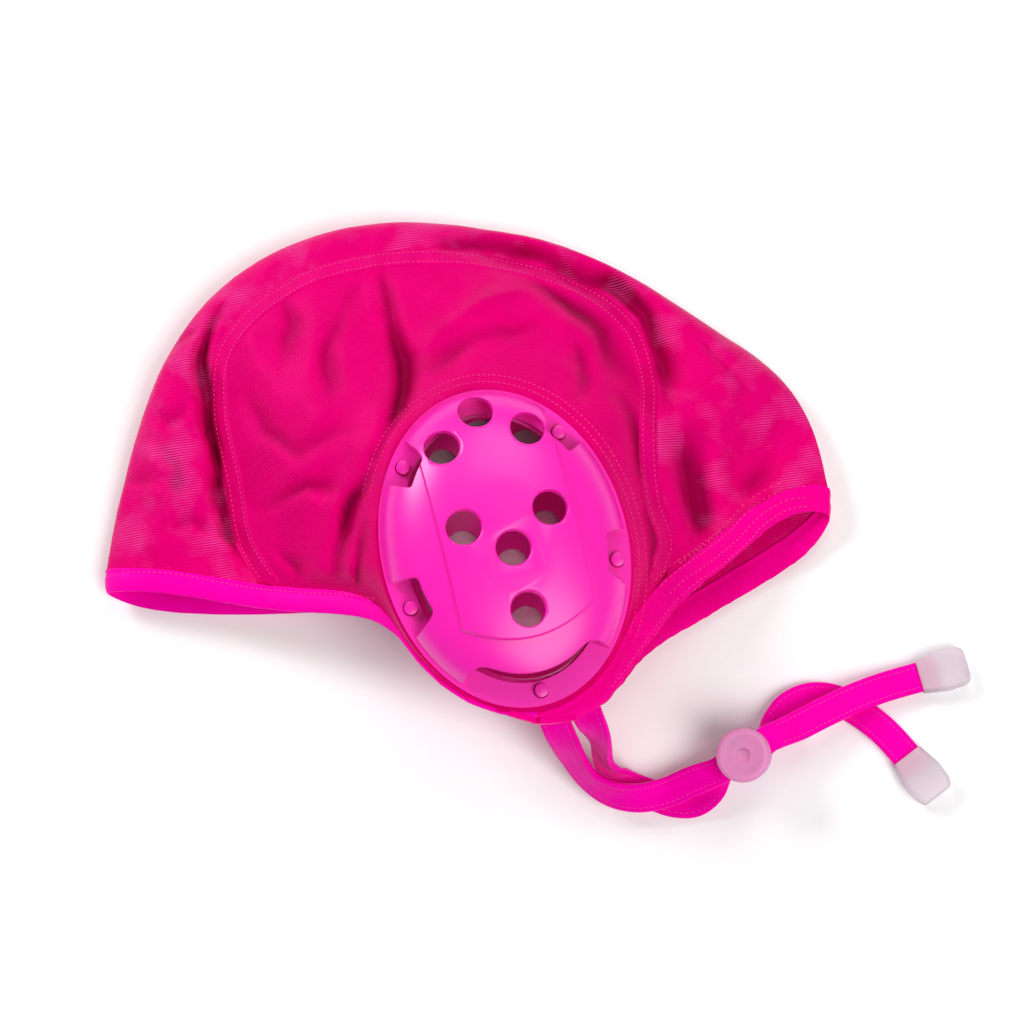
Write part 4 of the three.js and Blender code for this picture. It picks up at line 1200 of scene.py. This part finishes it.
class CAP_OT_chin_ties(bpy.types.Operator):
    """Lays the two flat ties along their routes, with the lock on the first and a tip on each"""

    bl_idname = "cap.chin_ties"
    bl_label = "Chin Ties"

    def execute(self, context):
        routes = {
            "a": tie_route(TIE_A_TO_LOCK, 1, TIE_A_FROM_LOCK),
            "b": tie_route(TIE_B_TO_LOCK, 0, TIE_B_FROM_LOCK),
        }
        lock = make_lock()
        tips = {letter: make_tip(letter, route) for letter, route in routes.items()}
        thread = Thread()
        for letter, route in routes.items():
            sew_tie(thread, route)
            tie, path = make_tie(f"chin_tie_{letter}_sewn", route)
            dress(tie, f"chin_tie_{letter}_sewn", "woven_tie")
            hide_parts(f"chin_tie_{letter}")
        thread.finish("tie_stitches", "tie_cloth")
        return {"FINISHED"}


def slot_tool(low):
    bpy.ops.object.select_all(action="DESELECT")
    bpy.ops.mesh.primitive_cube_add(size=1)
    obj = bpy.context.object
    obj.scale = (2 * LOCK_DIAMETER * MM, SLOT_WIDTH * MM, SLOT_HEIGHT * MM)
    obj.location = (0, 0, (low + SLOT_HEIGHT / 2) * MM)
    settle(obj)
    round_edges(obj, 0.8, 3, 50)
    return obj


def make_lock():
    """The spring lock's body and plunger, turned and cut."""
    radius = LOCK_DIAMETER / 2
    sides = 72
    body = turned_form(
        "lock",
        [
            (radius - 2.2, 0),
            (radius - 0.9, 0.3),
            (radius - 0.25, 1.1),
            (radius, 2.4),
            (radius, LOCK_BODY_HEIGHT - 1),
            (radius - 0.2, LOCK_BODY_HEIGHT - 0.3),
            (radius - 0.6, LOCK_BODY_HEIGHT),
        ],
        sides,
    )
    inside = radius - LOCK_WALL
    combine(body, post(0, 0, inside, LOCK_FLOOR, LOCK_BODY_HEIGHT + 1, sides), "DIFFERENCE")
    combine(body, slot_tool(LOCK_FLOOR + 1), "DIFFERENCE")
    low = LOCK_BODY_HEIGHT + LOCK_TRAVEL + RUNNING_GAP
    high = low + LOCK_HEAD_HEIGHT
    stem_radius = radius - LOCK_WALL - RUNNING_GAP
    stem_low = LOCK_FLOOR + LOCK_TRAVEL + RUNNING_GAP
    stem = post(0, 0, stem_radius, stem_low, low + 0.5, sides)
    combine(stem, slot_tool(LOCK_FLOOR + 1 + LOCK_TRAVEL), "DIFFERENCE")
    head = turned_form(
        "head",
        [
            (radius - 0.5, low),
            (radius - 0.1, low + 0.4),
            (radius, low + 1.2),
            (radius - 0.1, high - 1.0),
            (radius - 0.7, high - 0.25),
            (radius - 1.5, high),
            (radius - 1.9, high - 0.15),
            (3.4, high - 0.1),
            (2.5, high - 0.25),
            (2.1, high - 0.9),
            (1.2, high - 1.3),
        ],
        sides,
    )
    combine(head, stem, "UNION")
    pieces = []
    for obj, name, node, body_name in (
        (body, "lock_body_frosted", "lock_body", "cap"),
        (head, "lock_plunger_frosted", "lock_plunger", "plunger"),
    ):
        obj.data.transform(
            Matrix.Scale(MM, 4) @ lock_matrix() @ Matrix.Scale(1 / MM, 4)
        )
        smooth(obj, 40)
        dress(obj, name, "frosted_lock", body_name)
        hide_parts(node)
        pieces.append(obj)
    return pieces


def make_tip(letter, route):
    """A moulded tip round the end of a tie."""
    point, _, _, way = route.frame(1)
    across = Vector((0, 0, 1)).cross(way).normalized()
    rise = way.cross(across).normalized()
    start = point - way * TIP_SOCKET
    # Share of the length, width and share of the thickness
    stations = (
        (0, TIP_NECK, 0.86),
        (0.16, TIP_NECK + 1, 0.96),
        (0.5, TIP_WIDTH, 1),
        (0.82, TIP_WIDTH - 0.6, 0.8),
        (0.95, TIP_WIDTH - 2.2, 0.62),
        (1, TIP_WIDTH - 4, 0.4),
    )
    section = ((0.5, 0.22), (0.4, 0.5), (-0.4, 0.5), (-0.5, 0.22))
    section += tuple((-x, -y) for x, y in section)
    points, faces = [], []
    for i, (at, width, thick) in enumerate(stations):
        for x, y in section:
            place = start + way * at * TIP_LENGTH + across * x * width
            points.append((place + rise * y * thick * TIP_THICKNESS) * MM)
        if i:
            a = (i - 1) * 8
            faces += [(a + j, a + (j + 1) % 8, a + 8 + (j + 1) % 8, a + 8 + j) for j in range(8)]
    faces += [tuple(range(7, -1, -1)), tuple(len(points) - 8 + j for j in range(8))]
    obj = mesh_object("tip", points, faces)
    select_only(obj)
    bpy.ops.object.mode_set(mode="EDIT")
    bpy.ops.mesh.select_all(action="SELECT")
    bpy.ops.mesh.normals_make_consistent(inside=False)
    bpy.ops.object.mode_set(mode="OBJECT")
    round_edges(obj, 0.5, 3, 25)
    bpy.ops.object.select_all(action="DESELECT")
    bpy.ops.mesh.primitive_cube_add(size=1)
    socket = bpy.context.object
    gap = 0.3
    socket.scale = (2 * (TIP_SOCKET + gap), TIE_WIDTH + 2 * gap, TIE_THICKNESS + 2 * gap)
    settle(socket)
    turn = Matrix((way, across, rise)).transposed().to_4x4()
    socket.data.transform(Matrix.Scale(MM, 4) @ Matrix.Translation(start) @ turn)
    combine(obj, socket, "DIFFERENCE")
    smooth(obj, 40)
    dress(obj, f"tie_tip_{letter}_frosted", "frosted_polymer")
    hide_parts(f"tie_tip_{letter}")
    return obj


# Cloth


def cap_line(rows):
    """A line of the cap from rows of x and y, at height 0."""
    return Route([(x * CAP_LENGTH, y * CAP_DEPTH, 0, 0) for x, y in rows])


def fold_lines():
    """The folds with the box that each one reaches."""
    found = []
    for half, depth, ridge, places in FOLDS:
        reach = 3.4 * half
        xs, ys = [x for x, _ in places], [y for _, y in places]
        box = (min(xs) - reach, max(xs) + reach, min(ys) - reach, max(ys) + reach)
        found.append((half, depth, ridge, [Vector(place) for place in places], box))
    return found


def fold_height(folds, x, y):
    """Height of the cloth at a place and the part of it that the folds make, in millimetres."""
    height = 0.0
    drift = noise.noise_vector(Vector((x * 0.07, y * 0.07, 1)))
    place = Vector((x + 2.6 * drift.x, y + 2.6 * drift.y))
    for half, depth, ridge, places, box in folds:
        if not (box[0] < x < box[1] and box[2] < y < box[3]):
            continue
        nearest = None
        for i, (a, b) in enumerate(zip(places, places[1:])):
            way, offset = b - a, place - a
            along = min(max(offset.dot(way) / way.length_squared, 0), 1)
            distance = (offset - way * along).length
            if nearest is None or distance < nearest[0]:
                right = offset.x * way.y - offset.y * way.x > 0
                nearest = (distance, right, (i + along) / (len(places) - 1))
        distance, right, share = nearest
        taper = math.sin(math.pi * (0.1 + 0.8 * share)) * (0.85 + 0.5 * drift.z)
        across = distance / half * (1.25 if right else -0.8)
        height -= depth * taper * math.exp(-abs(across) ** 1.7)
        height += ridge * taper * math.exp(-(((across - 2.3) / 1.4) ** 2))
    warp = 9 * noise.noise(Vector((x * 0.03, y * 0.03, 5)))
    broad = noise.noise(Vector((x * 0.055 + warp * 0.1, y * 0.04, 3)))
    creased = 0.5 - abs(noise.noise(Vector((x * 0.1, y * 0.07 + warp * 0.1, 8))))
    return height + 1.6 * broad + 0.9 * creased, height + 0.5 * broad


def outside_guard(x, y):
    """Rough distance in millimetres from the upper ear guard's rim."""
    centre = Vector((GUARD_CENTRE["near"][0] * CAP_LENGTH, GUARD_CENTRE["near"][1] * CAP_DEPTH))
    turn = math.radians(-GUARD_TURN)
    offset = Vector((x, y)) - centre
    u = offset.x * math.cos(turn) - offset.y * math.sin(turn)
    v = offset.x * math.sin(turn) + offset.y * math.cos(turn)
    reach = math.hypot(u, v)
    return reach - reach / max(math.hypot(u / (GUARD_WIDTH / 2), v / (GUARD_LENGTH / 2)), 1e-6)


def ease(t):
    t = min(max(t, 0), 1)
    return t * t * (3 - 2 * t)


def reach_into(obj, neighbours, reach=0.9):
    """Moves the rim of a piece into the pieces that it is sewn to, so that the seam is closed."""
    tree = surface_of(name for name in neighbours if not obj.name.startswith(name))
    for vertex in obj.data.vertices:
        near, _, _, distance = tree.find_nearest(vertex.co, reach * MM)
        if near and distance > 0.01 * MM:
            vertex.co += (near - vertex.co) * (1 + 0.5 * MM / distance)


def fold_cloth(obj, upper, edges):
    """Presses the folds into the upper cloth and stores in each point an amount of painted shade,
    larger the deeper it lies in the folds.
    """
    folds = fold_lines()
    tree = surface_of(edges)
    crease_shades = []
    for vertex in obj.data.vertices:
        x, y, z = vertex.co / MM
        share = upper(x, y, z)
        height = crease = 0.0
        if share > 0:
            distance = tree.find_nearest(vertex.co, 8 * MM)[3]
            if distance is not None:
                share *= ease(distance / MM / 8)
            height, crease = (share * part for part in fold_height(folds, x, y))
        vertex.co.z += height * MM
        # Painted shade for the knit material, darker deep in the folds.
        crease_shades.append(min(max(-crease * 0.4 - 0.1, 0), 0.84))
    values = obj.data.attributes.new("fold", "FLOAT", "POINT")
    values.data.foreach_set("value", crease_shades)
    obj.data.update()


class CAP_OT_cloth(bpy.types.Operator):
    """Shapes the crown panel and the two side panels, with their folds"""

    bl_idname = "cap.cloth"
    bl_label = "Cloth Panels"

    def execute(self, context):
        def near_share(x, y, z):
            return ease(outside_guard(x, y) / 8)

        def crown_share(x, y, z):
            return ease((z - 3) / 9)

        def far_share(x, y, z):
            return 0.0

        side = (CAP_DEPTH * MM, CAP_LENGTH * MM)
        crown = (0.8 * CAP_DEPTH * MM, CAP_LENGTH * MM)
        edges = ("forehead_binding", "nape_casing")
        for node, share, flat, neighbours in (
            ("side_panel_near", near_share, side, (*edges, "crown_panel")),
            ("side_panel_far", far_share, side, (*edges, "crown_panel")),
            ("crown_panel", crown_share, crown, edges),
        ):
            piece = copy_of_node(node)
            reach_into(piece, neighbours)
            subdivide(piece, 2 if node == "side_panel_far" else 3)
            fold_cloth(piece, share, edges)
            smooth(piece, 50)
            # The crown panel gets the knit with painted glints.
            finish_name = "glossy_tricot" if node == "crown_panel" else "knitted_tricot"
            dress(piece, f"{node}_knit", finish_name)
            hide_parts(node)
        return {"FINISHED"}


def course(near, far, tree):
    """Points along the middle of an edging round the mouth, and how far along each one lies."""
    points = []
    for rows, above in ((near, True), (far, False)):
        line = cap_line(rows)
        for i in range(301):
            point, across, _, _ = line.frame(i / 300)
            if across.y < 0:
                across = -across
            on = on_surface(tree, point + across * 3.5, above)
            if on:
                points.append(on)
    lengths = [0.0]
    for a, b in zip(points, points[1:]):
        lengths.append(lengths[-1] + (b - a).length)
    return points, lengths


class CAP_OT_edgings(bpy.types.Operator):
    """Shapes the forehead binding and the gathered nape casing"""

    bl_idname = "cap.edgings"
    bl_label = "Edgings"

    def execute(self, context):
        cloth = surface_of(("crown_panel", "side_panel_near", "side_panel_far"))
        edges = ("forehead_binding", "nape_casing")
        for node, name, material, near, far, puckers in (
            (
                "forehead_binding",
                "forehead_binding_sewn",
                "satin_binding",
                NEAR_FRONT_RIM,
                FAR_FRONT_RIM,
                0.08,
            ),
            (
                "nape_casing",
                "nape_casing_gathered",
                "gathered_elastic",
                NEAR_NAPE_RIM,
                FAR_NAPE_RIM,
                0.4,
            ),
        ):
            points, lengths = course(near, far, surface_of([node]))
            nearest = kdtree.KDTree(len(points))
            for i, point in enumerate(points):
                nearest.insert(point, i)
            nearest.balance()
            piece = copy_of_node(node)
            reach_into(piece, edges, 1.8)
            subdivide(piece, 3)
            normals = [vertex.normal.copy() for vertex in piece.data.vertices]
            places = []
            for vertex, normal in zip(piece.data.vertices, normals):
                along = lengths[nearest.find(vertex.co / MM)[1]]
                across = cloth.find_nearest(vertex.co)[3] / MM
                wave = noise.noise(Vector((along * 0.32, across * 0.08, puckers * 10)))
                groove = math.exp(-(((across - 2.1) / 0.7) ** 2))
                vertex.co += normal * (puckers * (wave - 0.3) - 0.3 * groove) * MM
                places.append((along * MM, across * MM))
            piece.data.update()
            lay_uv(piece, places)
            smooth(piece, 60)
            dress(piece, name, material)
            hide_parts(node)
        return {"FINISHED"}


# Seams


def seam_band(name, line, tree, above, start, stop):
    """The seam allowance under a crown seam, seen as a band that stands a little proud."""
    section = (
        (-0.9, -0.3),
        (-0.3, 0.1),
        (0.6, 0.24),
        (2.6, 0.14),
        (4.4, 0.24),
        (5.3, 0.1),
        (5.8, -0.3),
    )
    outwards = 1 if above else -0.5
    rings, places, heights = [], [], [None] * len(section)
    stations = 250
    for i in range(stations + 1):
        point, across, _, _ = line.frame(start + (stop - start) * i / stations)
        upper, lower = [], []
        for j, (offset, lift) in enumerate(section):
            place = point + across * offset
            on = on_surface(tree, place, above)
            if on is None:
                on = tree.find_nearest(Vector((place.x, place.y, 12 if above else 1)) * MM)[0] / MM
            height = on.z
            if heights[j] is not None and abs(height - heights[j]) > 1:
                height = heights[j]
            heights[j] = height
            upper.append(Vector((place.x, place.y, height + lift * outwards)))
            lower.append(Vector((place.x, place.y, height - 0.7 * outwards)))
        rings.append(upper + lower[::-1])
        along = line.lengths[-1] * (stop - start) * i / stations
        offsets = [offset for offset, _ in section]
        places += [(along * MM, offset * MM) for offset in offsets + offsets[::-1]]
    obj = solid_through(name, rings)
    lay_uv(obj, places)
    smooth(obj, 60)
    return dress(obj, name, "seam_allowance")


def hem_tack(tree):
    """The end of the casing, turned over the end of the binding under the upper guard."""
    line = cap_line(HEM_TACK)
    rings = []
    for i in range(25):
        point, across, _, _ = line.frame(i / 24)
        inner = point - across * 1.1
        on = on_surface(tree, inner, True)
        if on is None:
            on = tree.find_nearest(Vector((inner.x, inner.y, GUARD_HEIGHT + HEAD_GAP)) * MM)[0] / MM
        top = on.z + 0.2
        low = top - 2.6
        grow = 0.5 * math.sin(math.pi * min(max(i / 24, 0.08), 0.92)) ** 0.3
        rings.append(
            [
                Vector((place.x, place.y, height))
                for place, height in (
                    (point - across * 1.7, top),
                    (point + across * grow * 0.6, top),
                    (point + across * grow, (top + low) / 2),
                    (point + across * grow * 0.6, low),
                    (point - across * 1.7, low),
                )
            ]
        )
    obj = solid_through("hem_tack", rings)
    lay_uv(obj, [(i // 5 * 0.8 * MM, i % 5 * MM) for i in range(len(obj.data.vertices))])
    smooth(obj, 50)
    return dress(obj, "hem_tack", "gathered_elastic")


def guard_line(offset, start, stop):
    """A line round the upper ear guard, some millimetres outside it, between two angles."""
    place = guard_matrix("near")
    rows = []
    for i in range(25):
        turn = math.radians(start + (stop - start) * i / 24)
        x = (GUARD_WIDTH / 2 + offset) * math.cos(turn)
        y = (GUARD_LENGTH / 2 + offset) * math.sin(turn)
        rows.append((*(place @ Vector((x * MM, y * MM, 0)) / MM).xy, 0, 0))
    return Route(rows)


class CAP_OT_seams(bpy.types.Operator):
    """Lays the seam allowances and sews the seams, the edgings and the cloth round the guard"""

    bl_idname = "cap.seams"
    bl_label = "Seams"

    def execute(self, context):
        panels = ("crown_panel_knit", "side_panel_near_knit", "side_panel_far_knit")
        tree = surface_of(panels)
        lines = {side: cap_line((ends[0], *SEAM, ends[1])) for side, ends in SEAM_ENDS.items()}
        seam_band("seam_band_near", lines["near"], tree, True, 0, 1)
        seam_band("seam_band_far", lines["far"], tree, False, 0, 1)
        edges = ("forehead_binding_sewn", "nape_casing_gathered")
        hem_tack(surface_of(edges))
        tree = surface_of((*panels, *edges, "seam_band_near", "seam_band_far"))
        thread = Thread()
        for side, line in lines.items():
            for offset in (0.8, 4.2):
                thread.row(line, tree, side == "near", offset, 0.01, 0.99)
        front, nape = cap_line(NEAR_FRONT_RIM), cap_line(NEAR_NAPE_RIM)
        thread.row(front, tree, True, 6.2, 0.1, 0.97)
        for offset in (-4.2, -7.9, -10.4):
            thread.row(nape, tree, True, offset, 0.42, 0.98)
        thread.row(nape, tree, True, -1.3, 0.05, 0.98)
        thread.row(nape, tree, True, -9.6, 0.5, 0.7, 0.9)
        for offset in (3.2, 5.6):
            thread.row(guard_line(offset, -40, 150), tree, True, 0)
        thread.row(cap_line(FAR_FRONT_RIM), tree, False, 6.2, 0.1, 0.9)
        for offset in (-1.3, -7.4):
            thread.row(cap_line(FAR_NAPE_RIM), tree, False, offset, 0.05, 0.8)
        thread.finish("seam_stitches", "stretch_cloth")
        return {"FINISHED"}


# Stage


class CAP_OT_stage(bpy.types.Operator):
    """Sets up the camera, the pale floor and the soft studio light"""

    bl_idname = "cap.stage"
    bl_label = "Stage"

    def execute(self, context):
        target = Vector((0.0136, -0.013, 0.008))
        elevation = math.radians(82)
        distance = 0.9
        eye = target + distance * Vector((0, -math.cos(elevation), math.sin(elevation)))
        bpy.ops.object.select_all(action="DESELECT")
        bpy.ops.object.camera_add(location=eye, rotation=(math.pi / 2 - elevation, 0, 0))
        camera = context.object
        camera.name = "camera"
        camera.data.lens = 98.9
        camera.data.sensor_width = 36
        camera.data.clip_start = 0.01
        context.scene.camera = camera
        bpy.ops.mesh.primitive_plane_add(size=6, location=(0, 0, 0))
        floor = context.object
        floor.name = "floor"
        floor.data.materials.append(finish("background_paper"))
        for name, place, size, power, colour in (
            ("key", (-0.85, 0.65, 0.7), 0.45, 10, (1, 1, 1)),
            ("fill", (0.7, -0.65, 1.3), 1.1, 19, (1, 0.99, 0.98)),
            ("back", (0.25, 0.95, 1.05), 0.8, 5, (1, 1, 1)),
        ):
            bpy.ops.object.light_add(type="AREA", location=place)
            light = context.object
            light.name = name
            light.data.size = size
            light.data.energy = power
            light.data.color = colour
            light.rotation_euler = (target - Vector(place)).to_track_quat("-Z", "Y").to_euler()
        world = bpy.data.worlds.new("studio")
        context.scene.world = world
        world.use_nodes = True
        background = world.node_tree.nodes["Background"]
        background.inputs["Color"].default_value = rgb("FFFFFF")
        background.inputs["Strength"].default_value = 0.16
        context.scene.view_settings.view_transform = "Standard"
        return {"FINISHED"}


class CAP_PT_panel(bpy.types.Panel):
    bl_label = "Water Polo Cap"
    bl_idname = "CAP_PT_panel"
    bl_space_type = "VIEW_3D"
    bl_region_type = "UI"
    bl_category = "Cap"

    def draw(self, context):
        look = settings()
        for key in CapSettings.__annotations__:
            self.layout.prop(look, key)
        for step in STEPS:
            self.layout.operator(step.bl_idname)


STEPS = (
    CAP_OT_stage,
    CAP_OT_chin_ties,
    CAP_OT_cloth,
    CAP_OT_edgings,
    CAP_OT_seams,
    CAP_OT_ear_guards,
)
CLASSES = (CapSettings, *STEPS, CAP_PT_panel)


def register():
    for kind in CLASSES:
        bpy.utils.register_class(kind)
    bpy.types.Scene.cap_settings = PointerProperty(type=CapSettings)


def unregister():
    del bpy.types.Scene.cap_settings
    for kind in reversed(CLASSES):
        bpy.utils.unregister_class(kind)


def main():
    register()
    bpy.ops.cap.stage()
    bpy.ops.cap.chin_ties()
    bpy.ops.cap.cloth()
    bpy.ops.cap.edgings()
    bpy.ops.cap.seams()
    bpy.ops.cap.ear_guards()


if __name__ == "__main__":
    main()
